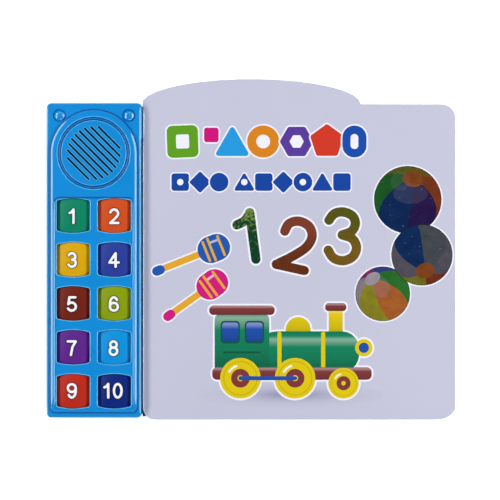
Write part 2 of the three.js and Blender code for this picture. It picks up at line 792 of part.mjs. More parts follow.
for (let i = 0; i < cellCount; i += 1) {
  const cell = turned([
    [0, cellFoot], [cellRadius - cellEdge, cellFoot], [cellRadius, cellFoot + cellEdge],
    [cellRadius, cellTop - cellEdge], [cellRadius - cellEdge, cellTop], [0, cellTop],
  ], cellX(i), bayY, 12);
  addPiece(`battery_cell_${i + 1}`, cell, contactSteel);
}

// Two bridging strips and two end contacts join the cells in a chain
const floorContactFoot = cellFoot - contactThickness;
const roofContactFoot = cellTop;
const strip = (width, foot, x) =>
  block(width, contactWidth, foot, foot + contactThickness, x, bayY);
addPiece('contact_start', strip(contactWidth, roofContactFoot, cellX(0)), contactSteel);
addPiece(
  'contact_lower_bridge',
  strip(cellPitch + contactWidth, floorContactFoot, (cellX(0) + cellX(1)) / 2),
  contactSteel);
addPiece(
  'contact_upper_bridge',
  strip(cellPitch + contactWidth, roofContactFoot, (cellX(1) + cellX(2)) / 2),
  contactSteel);
addPiece('contact_end', strip(contactWidth, floorContactFoot, cellX(cellCount - 1)), contactSteel);

export default book;
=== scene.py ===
import math

import bmesh
import bpy
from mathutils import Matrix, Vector


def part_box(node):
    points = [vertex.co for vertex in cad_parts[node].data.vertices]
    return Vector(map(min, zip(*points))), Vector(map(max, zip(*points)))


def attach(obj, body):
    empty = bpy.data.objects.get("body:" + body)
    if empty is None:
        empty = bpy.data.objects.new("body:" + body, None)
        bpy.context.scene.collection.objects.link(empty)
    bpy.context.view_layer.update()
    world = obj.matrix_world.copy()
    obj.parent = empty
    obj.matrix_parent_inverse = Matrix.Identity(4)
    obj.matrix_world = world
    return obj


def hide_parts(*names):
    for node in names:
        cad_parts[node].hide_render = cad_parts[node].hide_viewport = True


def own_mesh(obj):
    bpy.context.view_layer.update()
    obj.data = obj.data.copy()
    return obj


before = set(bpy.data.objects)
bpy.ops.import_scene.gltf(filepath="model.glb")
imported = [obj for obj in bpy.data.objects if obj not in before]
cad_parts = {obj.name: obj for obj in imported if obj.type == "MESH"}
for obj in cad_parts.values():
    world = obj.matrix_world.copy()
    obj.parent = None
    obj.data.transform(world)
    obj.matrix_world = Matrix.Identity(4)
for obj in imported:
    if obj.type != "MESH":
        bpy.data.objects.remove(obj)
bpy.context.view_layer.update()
scene = bpy.context.scene
mm = 0.001


# A socket that can be added, multiplied and compared in plain expressions
class Wire:
    def __init__(self, finish, socket):
        self.finish = finish
        self.socket = socket

    def math(self, operation, *values):
        return self.finish.node("ShaderNodeMath", {"operation": operation}, *values)

    def __add__(self, other):
        return self.math("ADD", self, other)

    __radd__ = __add__

    def __sub__(self, other):
        return self.math("SUBTRACT", self, other)

    def __mul__(self, other):
        return self.math("MULTIPLY", self, other)

    def __truediv__(self, other):
        return self.math("DIVIDE", self, other)

    def __gt__(self, other):
        return self.math("GREATER_THAN", self, other)

    def pick(self, name):
        return Wire(self.finish, self.socket.node.outputs[name])


colourMix = {"mask": 0, "first": 6, "second": 7, "out": 2}       # the mix node's colour sockets


# One material: its nodes come from node(), and its surface from surface()
class Finish:
    def __init__(self, name):
        self.material = bpy.data.materials.new(name)
        self.material.use_nodes = True
        self.tree = self.material.node_tree
        self.shader = self.tree.nodes["Principled BSDF"]

    def node(self, kind, settings=None, *places, **named):
        made = self.tree.nodes.new(kind)
        for key, value in (settings or {}).items():
            if key == "stops":
                ramp = made.color_ramp
                while len(ramp.elements) < len(value):
                    ramp.elements.new(0.5)
                for element, (position, colour) in zip(ramp.elements, value):
                    element.position = position
                    element.color = (*colour, 1)
            else:
                setattr(made, key, value)
        for index, value in enumerate(places):
            self.feed(made.inputs[index], value)
        for key, value in named.items():
            self.feed(made.inputs[key.replace("_", " ")], value)
        return Wire(self, made.outputs[0])

    def feed(self, socket, value):
        if isinstance(value, Wire):
            self.tree.links.new(value.socket, socket)
        elif socket.type == "RGBA":
            socket.default_value = (*value, 1)
        else:
            socket.default_value = value

    def place(self):
        return self.node("ShaderNodeTexCoord").pick("Object")

    def axes(self):
        return self.node("ShaderNodeSeparateXYZ", None, self.place())

    def noise(self, scale, detail, stretch=None):
        where = self.place()
        if stretch:
            where = self.node("ShaderNodeMapping", None, where, Scale=stretch)
        return self.node("ShaderNodeTexNoise", None, where, Scale=scale, Detail=detail)

    def eased(self, value, low, high):       # 0 at low, 1 at high, soft between them
        return self.node("ShaderNodeMapRange", {"interpolation_type": "SMOOTHSTEP"}, value, low, high)

    def blend(self, mask, first, second):
        mix = self.node("ShaderNodeMix", {"data_type": "RGBA"}).socket.node
        for name, value in (("mask", mask), ("first", first), ("second", second)):
            self.feed(mix.inputs[colourMix[name]], value)
        return Wire(self, mix.outputs[colourMix["out"]])

    def mottle(self, mask, colour, low, high):       # a colour darker and lighter by turns
        return self.blend(mask, lighter(colour, low), lighter(colour, high))

    def bump(self, height, distance, strength):
        return self.node("ShaderNodeBump", None, Height=height, Distance=distance, Strength=strength)

    def surface(self, **values):
        for key, value in values.items():
            self.feed(self.shader.inputs[key.replace("_", " ")], value)
        return self.material


def shade(red, green, blue):       # a colour as the eye reads it, 0 to 255, into light
    def one(value):
        value /= 255
        return value / 12.92 if value < 0.04045 else ((value + 0.055) / 1.055) ** 2.4
    return (one(red), one(green), one(blue))


def lighter(colour, factor):
    return tuple(min(value * factor, 1) for value in colour)


# Finishes, with the scales of their noises in features a metre
grain = {"cloud": 55, "fine": 2600, "weave": 520, "board": 14, "fibre": 700, "dots": 1900, "crease": 210,
         "dust": 900, "reflectionPatch": 620, "brush": 900, "skin": 1300}


def mouldedPlastic(name, colour, roughness, coat):
    finish = Finish(name)
    cloud = finish.noise(grain["cloud"], 2)
    return finish.surface(
        Base_Color=finish.mottle(cloud, colour, 0.94, 1.05), Roughness=roughness + (cloud - 0.5) * 0.16,
        Coat_Weight=coat, Coat_Roughness=0.12, Normal=finish.bump(finish.noise(grain["fine"], 2), 0.00003, 0.35))


def laminatedBoard(name, colour):
    finish = Finish(name)
    weave = finish.noise(grain["weave"], 1, (1, 0.18, 1)) + finish.noise(grain["weave"], 1, (0.18, 1, 1))
    cloud = finish.noise(grain["board"], 3)
    return finish.surface(
        Base_Color=finish.mottle(cloud, colour, 0.975, 1.03), Roughness=0.5 + (cloud - 0.5) * 0.12,
        Specular_IOR_Level=0.26, Coat_Weight=0.05, Coat_Roughness=0.2, Normal=finish.bump(weave, 0.00004, 0.3))


def cutBoard(name, colour):       # the greyish fibre of a cut edge
    finish = Finish(name)
    fibre = finish.noise(grain["fibre"], 4, (1, 1, 9))
    return finish.surface(Base_Color=finish.mottle(fibre, colour, 0.86, 1.1), Roughness=0.75,
                          Normal=finish.bump(fibre, 0.00008, 0.5))


def printed(finish, tone):
    return finish.surface(Base_Color=tone, Roughness=0.48, Specular_IOR_Level=0.26, Coat_Weight=0.05,
                          Coat_Roughness=0.2)


def printInk(name, colour):
    finish = Finish(name)
    return printed(finish, finish.mottle(finish.noise(grain["dots"], 1), colour, 0.93, 1.07))


def foiled(finish, tone, crease):
    return finish.surface(Base_Color=tone, Metallic=0.35, Roughness=0.22 + crease * 0.2, Coat_Weight=0.3,
                          Normal=finish.bump(crease, 0.0001, 0.4))


def foil(name, colour, paintedHighlights):       # painted highlights: lighter ovals as x, y, width, height, strength
    finish = Finish(name)
    crease = finish.noise(grain["crease"], 5)
    specks = finish.noise(grain["dust"], 2) > 0.74
    tone = finish.mottle(crease, colour, 0.7, 1.25)
    where = finish.axes()
    for x, y, width, height, strength in paintedHighlights:
        aside = (where.pick("X") - x * mm) * (2 / width / mm)
        above = (where.pick("Y") - y * mm) * (2 / height / mm)
        oval = finish.eased(aside * aside + above * above, 1.1, 0.8)
        tone = finish.blend(oval * strength, tone, (0.42, 0.42, 0.5))
    return foiled(finish, finish.blend(specks * 0.5, tone, (0.6, 0.6, 0.62)), crease)


def leafyFoil(name, colour, second, foot, head, patchiness):       # painted reflection: a second tone towards its head, in patches
    finish = Finish(name)
    crease = finish.noise(grain["crease"], 5)
    rise = finish.node("ShaderNodeMapRange", None, finish.axes().pick("Y"), foot, head)
    mask = finish.eased(rise + (finish.noise(grain["reflectionPatch"], 4) - 0.5) * patchiness, 0.2, 0.8)
    return foiled(finish, finish.blend(mask, finish.mottle(crease, colour, 0.8, 1.2), second), crease)


def plainMetal(name, colour, roughness):
    finish = Finish(name)
    brushed = finish.noise(grain["brush"], 3, (1, 1, 8))
    return finish.surface(Base_Color=finish.mottle(brushed, colour, 0.85, 1.1), Metallic=1.0,
                          Roughness=roughness + (brushed - 0.5) * 0.2)


def softRubber(name, colour):
    finish = Finish(name)
    skin = finish.noise(grain["skin"], 3)
    return finish.surface(Base_Color=finish.mottle(skin, colour, 0.9, 1.1), Roughness=0.65,
                          Normal=finish.bump(skin, 0.00005, 0.5))


def circuitLacquer(name, colour):
    finish = Finish(name)
    trackX, trackY = (
        finish.node("ShaderNodeTexWave", {"bands_direction": way}, finish.place(), Scale=scale, Distortion=bend)
        for way, scale, bend in (("X", 90, 3), ("Y", 70, 4)))
    tracks = (trackX > 0.75) * (trackY > 0.35)
    return finish.surface(Base_Color=finish.blend(tracks, colour, lighter(colour, 2.2)), Roughness=0.35,
                          Coat_Weight=0.5)


keyColours = [shade(*tone) for tone in (
    (3, 130, 97), (208, 78, 28), (217, 165, 2), (40, 60, 152), (113, 30, 15), (135, 156, 1), (93, 35, 137),
    (1, 145, 218), (186, 40, 24), (3, 36, 123))]
caseBlue = shade(6, 139, 216)
lavender = shade(196, 197, 217)

casePlastic = mouldedPlastic("casePlastic", caseBlue, 0.3, 0.08)
rearPlastic = mouldedPlastic("rearPlastic", shade(8, 118, 190), 0.42, 0.1)
studPlastic = mouldedPlastic("studPlastic", shade(10, 140, 215), 0.16, 0.6)
coverLaminate = laminatedBoard("coverLaminate", lavender)
insideLaminate = laminatedBoard("insideLaminate", shade(222, 224, 236))
leafFibre = cutBoard("leafFibre", shade(226, 225, 228))
zincSteel = plainMetal("zincSteel", (0.55, 0.56, 0.58), 0.3)
canSteel = plainMetal("canSteel", (0.72, 0.72, 0.7), 0.22)
stripSteel = plainMetal("stripSteel", (0.7, 0.66, 0.52), 0.28)
magnetSteel = plainMetal("magnetSteel", (0.25, 0.25, 0.27), 0.5)
coneFilm = softRubber("coneFilm", (0.03, 0.03, 0.035))
padRubber = softRubber("padRubber", (0.3, 0.32, 0.35))
chipEpoxy = softRubber("chipEpoxy", (0.012, 0.012, 0.013))
boardLacquer = circuitLacquer("boardLacquer", (0.012, 0.14, 0.045))

nodeFinish = {}
for finish, nodes in (
        (casePlastic, "front_housing"), (rearPlastic, "rear_housing battery_door"),
        (studPlastic, "dome_stud_left dome_stud_right"), (coverLaminate, "back_cover front_cover spine"),
        (leafFibre, "page_block"), (padRubber, "keypad_membrane"), (boardLacquer, "circuit_board"),
        (chipEpoxy, "sound_chip"), (magnetSteel, "speaker_basket speaker_magnet"), (coneFilm, "speaker_cone"),
        (canSteel, "battery_cell_1 battery_cell_2 battery_cell_3"),
        (stripSteel, "contact_start contact_end contact_lower_bridge contact_upper_bridge")):
    nodeFinish.update(dict.fromkeys(nodes.split(), finish))
# Painted shade on the key caps: where it begins, where it is darkest, and how dark it gets
keyShade = {"core": 8.2 * mm, "rim": 10.6 * mm, "darkest": 0.7}


def keyPlastic(n):       # painted shade: darker towards the cap's left and right sides, where the window's walls shade it
    low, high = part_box(f"button_{n}")
    colour = keyColours[n - 1]
    finish = Finish(f"keyPlastic{n}")
    across = finish.axes() - (low[0] + high[0]) / 2
    reach = finish.eased(across.math("ABSOLUTE", across), keyShade["core"], keyShade["rim"])
    tone = finish.blend(reach, colour, lighter(colour, keyShade["darkest"]))
    return finish.surface(Base_Color=tone, Roughness=0.5, Specular_IOR_Level=0.16,
                          Normal=finish.bump(finish.noise(grain["fine"], 2), 0.00003, 0.35))


keys = range(1, 11)
nodeFinish.update({f"button_{n}": keyPlastic(n) for n in keys})
for name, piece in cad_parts.items():
    if not piece.material_slots:
        piece.data.materials.append(None)
    for holder in piece.material_slots:
        holder.material = nodeFinish.get(name, zincSteel)
print("finishes on", len(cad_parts), "nodes")


# Meshes
def linkMesh(name, mesh, *finishes):
    piece = bpy.data.objects.new(name, mesh)
    scene.collection.objects.link(piece)
    for finish in finishes:
        mesh.materials.append(finish)
    return piece


def shapePiece(name, shape, *finishes):
    mesh = bpy.data.meshes.new(name)
    shape.to_mesh(mesh)
    shape.free()
    return linkMesh(name, mesh, *finishes)


def shapeOf(node):       # a node's mesh with its corners joined
    shape = bmesh.new()
    shape.from_mesh(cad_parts[node].data)
    bmesh.ops.remove_doubles(shape, verts=shape.verts, dist=1e-6)
    return shape


def applied(piece):       # the piece with its modifiers made real
    shape = bpy.data.meshes.new_from_object(piece.evaluated_get(bpy.context.evaluated_depsgraph_get()))
    piece.modifiers.clear()
    old = piece.data
    piece.data = shape
    bpy.data.meshes.remove(old)
    return piece


softening = {"rounds": 2, "flat": math.radians(0.6), "smoothTo": math.radians(44), "weight": 80, "level": 0.98}


def standFor(piece, node, body):
    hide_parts(node)
    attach(piece, body)


def softCopy(node, name, body, edge, laminated=()):       # a node, its edges eased; laminated: up 1, down -1
    shape = shapeOf(node)
    bmesh.ops.dissolve_limit(shape, angle_limit=softening["flat"], verts=shape.verts, edges=shape.edges)
    piece = shapePiece(name, shape, nodeFinish[node])
    for face in piece.data.polygons:
        face.use_smooth = True
    ease = piece.modifiers.new("ease", "BEVEL")
    ease.width = edge * mm
    ease.segments = softening["rounds"]
    ease.limit_method = "ANGLE"
    ease.angle_limit = softening["smoothTo"]
    ease.harden_normals = True
    applied(piece)
    piece.data.set_sharp_from_angle(angle=softening["smoothTo"])
    if not node.startswith("button"):
        weigh = piece.modifiers.new("weigh", "WEIGHTED_NORMAL")
        weigh.keep_sharp = True
        weigh.weight = softening["weight"]
        applied(piece)
    if laminated:
        piece.data.materials.append(insideLaminate)
    for face in piece.data.polygons:
        if any(face.normal.z * side > softening["level"] for side in laminated):
            face.material_index = 1
    standFor(piece, node, body)


softPieces = [
    ("front_housing", "case_shell", "book", 0.3), ("rear_housing", "case_floor", "book", 0.15),
    ("battery_door", "bay_door", "book", 0.15), ("front_cover", "cover_board", "cover", 0.15, (-1,)),
    ("back_cover", "back_board", "book", 0.3), ("spine", "spine_strip", "book", 0.2),
    ("page_block", "leaves", "book", 0.06, (1, -1)), ("dome_stud_left", "stud_left", "book", 0.1),
    ("dome_stud_right", "stud_right", "book", 0.1)]
for row in softPieces + [(f"button_{n}", f"key_cap_{n}", f"key_{n}", 0.25) for n in keys]:
    softCopy(*row)
print("eased shells and keys")

# The keypad's domes give under their keys, so each is a piece of its own
keypad = {"sheet": 0.9 * mm, "domeReach": 5.45 * mm, "near": 0.02 * mm, "keep": 0.44}


def keypadPieces():
    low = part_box("keypad_membrane")[0]
    domeFoot = low[2] + keypad["sheet"]
    middles = {}
    for n in keys:
        keyLow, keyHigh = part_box(f"button_{n}")
        middles[n] = Vector(((keyLow[0] + keyHigh[0]) / 2, (keyLow[1] + keyHigh[1]) / 2))

    def domeOf(face):       # the dome's number, or 0 on the sheet
        for n, middle in middles.items():
            if all(v.co.z > domeFoot - keypad["near"] and (v.co.xy - middle).length < keypad["domeReach"]
                   for v in face.verts):
                return n
        return 0

    for part in (0, *keys):
        shape = shapeOf("keypad_membrane")
        others = [face for face in shape.faces if domeOf(face) != part]
        bmesh.ops.delete(shape, geom=others, context="FACES")
        piece = shapePiece(f"keypad_dome_{part}" if part else "keypad_sheet", shape, padRubber)
        standFor(piece, "keypad_membrane", "book")
        if part:
            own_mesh(piece)


keypadPieces()
print("keypad")


# Flat print and raised numerals
def arc(x, y, radius, start, end, steps=14, tall=None):       # degrees, x right, y up
    tall = tall or radius
    points = []
    for i in range(steps + 1):
        angle = math.radians(start + (end - start) * i / steps)
        points.append((x + radius * math.cos(angle), y + tall * math.sin(angle)))
    return points


# Strokes of the plain round numerals, in a box one unit tall with its middle at the origin
numeralStrokes = {
    "0": [arc(0, 0, 0.22, 0, 360, 28, 0.4)],
    "1": [[(0.05, 0.4), (0.05, -0.4)], [(-0.17, 0.2), (-0.07, 0.24), (0.05, 0.4)]],
    "2": [arc(0, 0.17, 0.23, 165, -28) + [(0.1, -0.08), (-0.23, -0.4)], [(-0.23, -0.4), (0.24, -0.4)]],
    "3": [arc(-0.01, 0.2, 0.2, 155, -84), arc(-0.01, -0.18, 0.22, 84, -155)],
    "4": [[(0.1, -0.4), (0.1, 0.4)], [(0.1, 0.4), (-0.26, -0.15)], [(-0.26, -0.15), (0.27, -0.15)]],
    "5": [[(0.2, 0.4), (-0.14, 0.4)], [(-0.14, 0.4), (-0.2, 0.0)],
          [(-0.2, 0.0)] + arc(-0.01, -0.15, 0.24, 122, -150)],
    "6": [arc(0, -0.16, 0.23, 0, 360, 24), [(-0.23, -0.16)] + arc(0, 0, 0.23, 180, 38, 12, 0.4)],
    "7": [[(-0.24, 0.4), (0.22, 0.4)], [(0.22, 0.4), (0.03, 0.06), (-0.06, -0.4)]],
    "8": [arc(0, 0.21, 0.19, 0, 360, 22), arc(0, -0.18, 0.22, 0, 360, 24)],
    "9": [arc(0, 0.16, 0.23, 0, 360, 24), [(0.23, 0.16)] + arc(0, 0, 0.23, 0, -142, 12, 0.4)],
}


def strokeBand(shape, points, width, top, depth, material):
    # A ribbon along the points, with round ends unless it closes on itself
    closed = math.dist(points[0], points[-1]) < 1e-7
    if closed:
        points = points[:-1]
    count = len(points)
    left, right = [], []
    for i, place in enumerate(points):
        here = Vector(place)
        before = Vector(points[i - 1]) if closed or i else None
        after = Vector(points[(i + 1) % count]) if closed or i < count - 1 else None
        going = (here - before).normalized() if before else (after - here).normalized()
        leaving = (after - here).normalized() if after else going
        mean = (going + leaving).normalized()
        side = Vector((-mean.y, mean.x)) * (width / 2) / max(mean.dot(going), 0.7)
        left.append(here + side)
        right.append(here - side)

    def column(place):
        height = top(place.x, place.y)
        return shape.verts.new((place.x, place.y, height)), shape.verts.new((place.x, place.y, height - depth))

    def panel(corners):
        shape.faces.new(corners).material_index = material

    leftSide = [column(place) for place in left]
    rightSide = [column(place) for place in right]
    for i in range(count if closed else count - 1):
        j = (i + 1) % count
        panel((rightSide[i][0], rightSide[j][0], leftSide[j][0], leftSide[i][0]))
        panel((leftSide[i][0], leftSide[j][0], leftSide[j][1], leftSide[i][1]))
        panel((rightSide[j][0], rightSide[i][0], rightSide[i][1], rightSide[j][1]))
    if closed:
        return
    turns = 8       # panels round each end
    for middle, first, last in ((points[-1], leftSide[-1], rightSide[-1]), (points[0], rightSide[0], leftSide[0])):
        start = math.atan2(first[0].co.y - middle[1], first[0].co.x - middle[0])
        rim = [first]
        for k in range(1, turns):
            angle = start - math.pi * k / turns
            rim.append(column(Vector(middle) + Vector((math.cos(angle), math.sin(angle))) * (width / 2)))
        rim.append(last)
        panel([upper for upper, lower in reversed(rim)])
        for here, after in zip(rim, rim[1:]):
            panel((here[0], after[0], after[1], here[1]))


def flatPatch(shape, points, top, depth, material):
    if turnSense(points) < 0:
        points = points[::-1]
    upper = [shape.verts.new((x, y, top(x, y))) for x, y in points]
    lower = [shape.verts.new((x, y, top(x, y) - depth)) for x, y in points]
    face = shape.faces.new(upper)
    face.material_index = material
    bmesh.ops.triangulate(shape, faces=[face])
    for i in range(len(points)):
        wall = shape.faces.new((upper[i], upper[i - 1], lower[i - 1], lower[i]))
        wall.material_index = material


def turnSense(points):       # 1 when the outline runs anticlockwise
    twice = sum(a[0] * b[1] - b[0] * a[1] for a, b in zip(points, points[1:] + points[:1]))
    return 1 if twice > 0 else -1


def refined(line, step):       # the same line with points no further apart than step
    points = [line[0]]
    for start, end in zip(line, line[1:]):
        pieces = max(1, math.ceil(math.dist(start, end) / step))
        for k in range(1, pieces + 1):
            points.append((start[0] + (end[0] - start[0]) * k / pieces,
                           start[1] + (end[1] - start[1]) * k / pieces))
    return points


keyPrint = {"height": 10.7 * mm, "stroke": 1.55 * mm, "rise": 0.21 * mm, "edge": 0.6 * mm, "edgeShare": 0.75,
            "depth": 0.3 * mm, "between": 0.7 * mm, "step": 0.008 * mm, "wide": 1.02, "pitch": 0.62,
            "crown": 1.1 * mm, "flange": 1.1 * mm, "darkness": 0.32,
            "leftward": (0.35, 0.1, 0.7, 0.3, 0.85, 0.3, 0.8, 0.55, 0.9, 1.15), "down": (0.4, 0.3, 0.4, 0.5, -0.3)}
keyWhite = printInk("keyWhite", shade(244, 244, 252))


def numeral(text, x, y):       # its strokes at a place, in metres
    height, wide = keyPrint["height"], keyPrint["wide"]
    lines = []
    for index, character in enumerate(text):
        shift = (index - (len(text) - 1) / 2) * keyPrint["pitch"]
        lines += [[(x + (px * wide + shift) * height, y + py * height) for px, py in stroke]
                  for stroke in numeralStrokes[character]]
    return lines


def keyNumeral(n):       # white strokes on wider dark ones, over the cap's crown; the dark ones are painted shade round each raised digit
    low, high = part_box(f"button_{n}")
    x, y = (low[0] + high[0]) / 2, (low[1] + high[1]) / 2
    halfWidth = (high[0] - low[0]) / 2 - keyPrint["flange"]

    def raised(rise):
        return lambda px, py: high[2] - keyPrint["crown"] * ((px - x) / halfWidth) ** 2 + rise

    shape = bmesh.new()
    leftward, down = keyPrint["leftward"][n - 1] * mm, keyPrint["down"][(n - 1) // 2] * mm
    for order, line in enumerate(numeral(str(n), x - leftward, y - down)):
        fine = refined(line, keyPrint["between"])
        for material, share, wider in ((1, keyPrint["edgeShare"], 2 * keyPrint["edge"]), (0, 1, 0)):
            strokeBand(shape, fine, keyPrint["stroke"] + wider,
                       raised(keyPrint["rise"] * share + order * keyPrint["step"]), keyPrint["depth"], material)
    # The dark ink is painted shade: the key's own colour, darkened
    dark = printInk(f"keyDigitShade{n}", lighter(keyColours[n - 1], keyPrint["darkness"]))
    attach(shapePiece(f"key_numeral_{n}", shape, keyWhite, dark), f"key_{n}")


for n in keys:
    keyNumeral(n)
print("key numerals")


# The cover's print, laid in painter's order: each patch lies a hair above the one before
coverLow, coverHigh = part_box("front_cover")
printLayers = {"first": 0.02 * mm, "step": 0.0006 * mm, "sunk": 1.5, "margin": 1.0}
sheet = {}


def newSheet(level):
    sheet.update(shape=bmesh.new(), level=level, laid=0, inks=[], inkIndex={})


def ink(name, kind, *settings):
    if name not in sheet["inkIndex"]:
        sheet["inkIndex"][name] = len(sheet["inks"])
        sheet["inks"].append(kind(name, *settings))
    return sheet["inkIndex"][name]


def nextLevel():
    sheet["laid"] += 1
    return printLayers["first"] + printLayers["step"] * sheet["laid"]


def patch(points, inkNumber):       # points in millimetres
    lift = nextLevel()
    flatPatch(sheet["shape"], [(x * mm, y * mm) for x, y in points], lambda x, y: sheet["level"] + lift,
              lift * printLayers["sunk"], inkNumber)


def band(points, width, inkNumber):
    lift = nextLevel()
    strokeBand(sheet["shape"], [(x * mm, y * mm) for x, y in points], width * mm,
               lambda x, y: sheet["level"] + lift, lift * printLayers["sunk"], inkNumber)


def grown(points, margin):       # an outline pushed outwards
    sense = turnSense(points)
    result = []
    for before, here, after in zip(points[-1:] + points[:-1], points, points[1:] + points[:1]):
        first = (Vector(here) - Vector(before)).normalized()
        second = (Vector(after) - Vector(here)).normalized()
        normal = Vector((first.y + second.y, -first.x - second.x)).normalized() * sense
        stretch = 1 / max(normal.dot(Vector((first.y, -first.x)) * sense), 0.6)
        result.append(tuple(Vector(here) + normal * margin * stretch))
    return result


def disc(x, y, radius, tall=None, steps=40):
    return arc(x, y, radius, 0, 360, steps, tall)[:-1]


def roundedBox(x, y, width, height, corner, lean=0, steps=5):
    halfW, halfH = width / 2 - corner, height / 2 - corner
    points = []
    for sideX, sideY, start in ((1, 1, 0), (-1, 1, 90), (-1, -1, 180), (1, -1, 270)):
        points += arc(sideX * halfW, sideY * halfH, corner, start, start + 90, steps)
    turn = math.radians(lean)
    return [(x + px * math.cos(turn) - py * math.sin(turn), y + px * math.sin(turn) + py * math.cos(turn))
            for px, py in points]


def softPolygon(x, y, radius, corners, lean, corner):       # a regular figure, its corners eased
    reach, share = radius - corner / math.cos(math.pi / corners), 180 / corners
    points = []
    for angle in (lean + 2 * share * k for k in range(corners)):
        points += arc(*arc(x, y, reach, angle, angle, 1)[0], corner, angle - share, angle + share, 4)
    return points


def triangle(x, y, half, corner):       # as tall and wide as its neighbours of that half size
    return softPolygon(x, y - half * 0.25, half * 1.32, 3, 90, corner)


def smooth(points, steps=6):       # a soft line through the points
    line = []
    padded = [points[0], *points, points[-1]]
    for p0, p1, p2, p3 in zip(padded, padded[1:], padded[2:], padded[3:]):
        for k in range(steps):
            t = k / steps
            line.append(tuple(
                0.5 * (2 * b + (c - a) * t + (2 * a - 5 * b + 4 * c - d) * t * t + (3 * b - a - 3 * c + d) * t ** 3)
                for a, b, c, d in zip(p0, p1, p2, p3)))
    return line + [points[-1]]


newSheet(coverHigh[2])
white = ink("paperWhite", printInk, shade(240, 240, 252))


def bordered(points, inkNumber, margin=printLayers["margin"]):
    patch(grown(points, margin), white)
    patch(points, inkNumber)


# Upper row: seven plain shapes in seven colours, some with a white heart
upperRow = {
    "green": shade(92, 158, 26), "magenta": shade(206, 8, 122), "sky": shade(32, 152, 222),
    "orange": shade(216, 130, 22), "purple": shade(88, 56, 154), "red": shade(208, 54, 32),
    "blue": shade(14, 74, 170),
}
upperInk = {name: ink(f"row_{name}", printInk, colour) for name, colour in upperRow.items()}
rowY = 69.0
for name, outline, *hearts in (
        ("green", roundedBox(-44.0, rowY, 20, 20.5, 3.5, 2), roundedBox(-44.0, rowY, 8.4, 9, 1.2, 2)),
        ("magenta", softPolygon(-25.6, rowY + 4.2, 6.6, 4, 45, 1.6)),
        ("sky", softPolygon(-12.2, rowY - 2.6, 13.4, 3, 90, 1.6)),
        ("orange", disc(7.6, rowY, 10.3), disc(7.6, rowY, 4.4)),
        ("purple", softPolygon(29.0, rowY, 10.9, 6, 0, 1.6), softPolygon(29.0, rowY, 4.6, 6, 0, 0.8)),
        ("red", softPolygon(48.4, rowY, 11.4, 5, 90, 1.6)),
        ("blue", roundedBox(66.0, rowY, 15.5, 20.5, 7.6), roundedBox(66.0, rowY, 5, 9.6, 2.4))):
    bordered(outline, upperInk[name])
    for heart in hearts:
        patch(heart, white)

# Lower row: small deep-blue shapes in two groups
lowerRow = {"y": 43.0, "size": 12.2, "colour": shade(12, 66, 158), "margin": 0.8, "heart": 0.34,
            "places": [-45.5, -32.8, -20.6, -4.5, 8.0, 20.5, 33.0, 45.5, 58.0]}
lowerInk = ink("row_small", printInk, lowerRow["colour"])
half, y = lowerRow["size"] / 2, lowerRow["y"]
for order, x in enumerate(lowerRow["places"]):
    bordered((
        roundedBox(x, y, 2 * half * 0.92, 2 * half * 0.92, 1.8),
        triangle(x, y, half, 1.0),
        disc(x, y, half * 0.98, steps=28),
        softPolygon(x, y, half * 1.16, 4, 0, 1.0),
    )[(order * 3) % 4], lowerInk, lowerRow["margin"])
    if order % 3 == 0:
        patch(disc(x, y, half * lowerRow["heart"], steps=20), white)

# Foil numerals with white borders
# Each numeral's foil runs from its own colour at the foot to a painted reflection at the head, over the span rise, as
# patchy as grain
foilNumerals = {
    "stroke": 5.5, "rim": 0.24, "border": 1.25,
    "one": {"foot": shade(4, 72, 44), "head": shade(134, 164, 76), "rise": (10, 31), "grain": 3.0, "lines": [
        [(-1.0, 23.4), (2.9, -6.4)],
        smooth([(-1.0, 23.0), (-4.4, 18.2), (-9.2, 15.6)])]},
    "two": {"foot": shade(116, 54, 22), "head": shade(146, 70, 46), "rise": (-12, 20), "grain": 0.5, "lines": [
        smooth([(21.4, 11.6), (24.2, 16.4), (30.2, 18.0), (36.6, 15.0), (38.9, 8.6), (35.4, 1.6), (26.9, -4.2),
                (16.0, -9.6)]),
        [(16.0, -9.6), (33.9, -13.6)]]},
    "three": {"foot": shade(134, 100, 24), "head": shade(100, 98, 20), "rise": (-8, 24), "grain": 0.5, "lines": [
        smooth([(49.7, 18.6), (53.2, 22.8), (58.9, 23.9), (64.6, 21.4), (66.6, 16.6), (64.2, 11.6), (58.2, 9.2)]),
        smooth([(58.2, 9.2), (64.6, 6.8), (67.3, 1.2), (65.0, -4.6), (58.9, -7.3), (52.6, -5.6), (49.2, -0.6)])]},
}
rim, border = foilNumerals["rim"], foilNumerals["border"]
for name in ("one", "two", "three"):
    item = foilNumerals[name]
    stamp = ink(f"foil_{name}", leafyFoil, item["foot"], item["head"], *(y * mm for y in item["rise"]),
                item["grain"])
    rimInk = ink(f"rim_{name}", printInk, lighter(item["foot"], 0.25))
    for extra, tone in ((rim + border, white), (rim, rimInk), (0, stamp)):
        for line in item["lines"]:
            band(line, foilNumerals["stroke"] + 2 * extra, tone)

# Striped balls in foil, each with its cap turned its own way
balls = [
    {"at": (84.1, -28.5), "radius": 17.2, "cap": (-0.40, 0.594), "turn": 8,
     "gores": [(152, 146, 34), (186, 104, 44), (44, 124, 46), (52, 66, 140), (146, 36, 110), (148, 138, 150)],
     "button": (176, 166, 176),
     "paintedHighlights": [(83.2, -24.6, 11, 13, 0.14)]},
    {"at": (100.1, 31.7), "radius": 21.3, "cap": (0.153, 0.647), "turn": -20,
     "gores": [(24, 98, 34), (0, 42, 96), (38, 16, 80), (132, 58, 20), (112, 88, 24), (96, 98, 22)],
     "button": (142, 72, 20),
     "paintedHighlights": [(101.9, 35.6, 22.8, 13.2, 0.07), (95.4, 43.7, 12.6, 12.2, 0.05)]},
    {"at": (109.2, -3.6), "radius": 19.3, "cap": (0.11, -0.55), "turn": 25,
     "gores": [(76, 82, 90), (0, 46, 100), (92, 88, 102), (124, 122, 28), (122, 50, 22), (88, 86, 98)],
     "button": (146, 74, 24),
     "paintedHighlights": []},
]
ballGrid = {"turns": 72, "rings": 30, "capRings": 3, "border": 1.2, "edge": 0.3, "near": 1e-7}


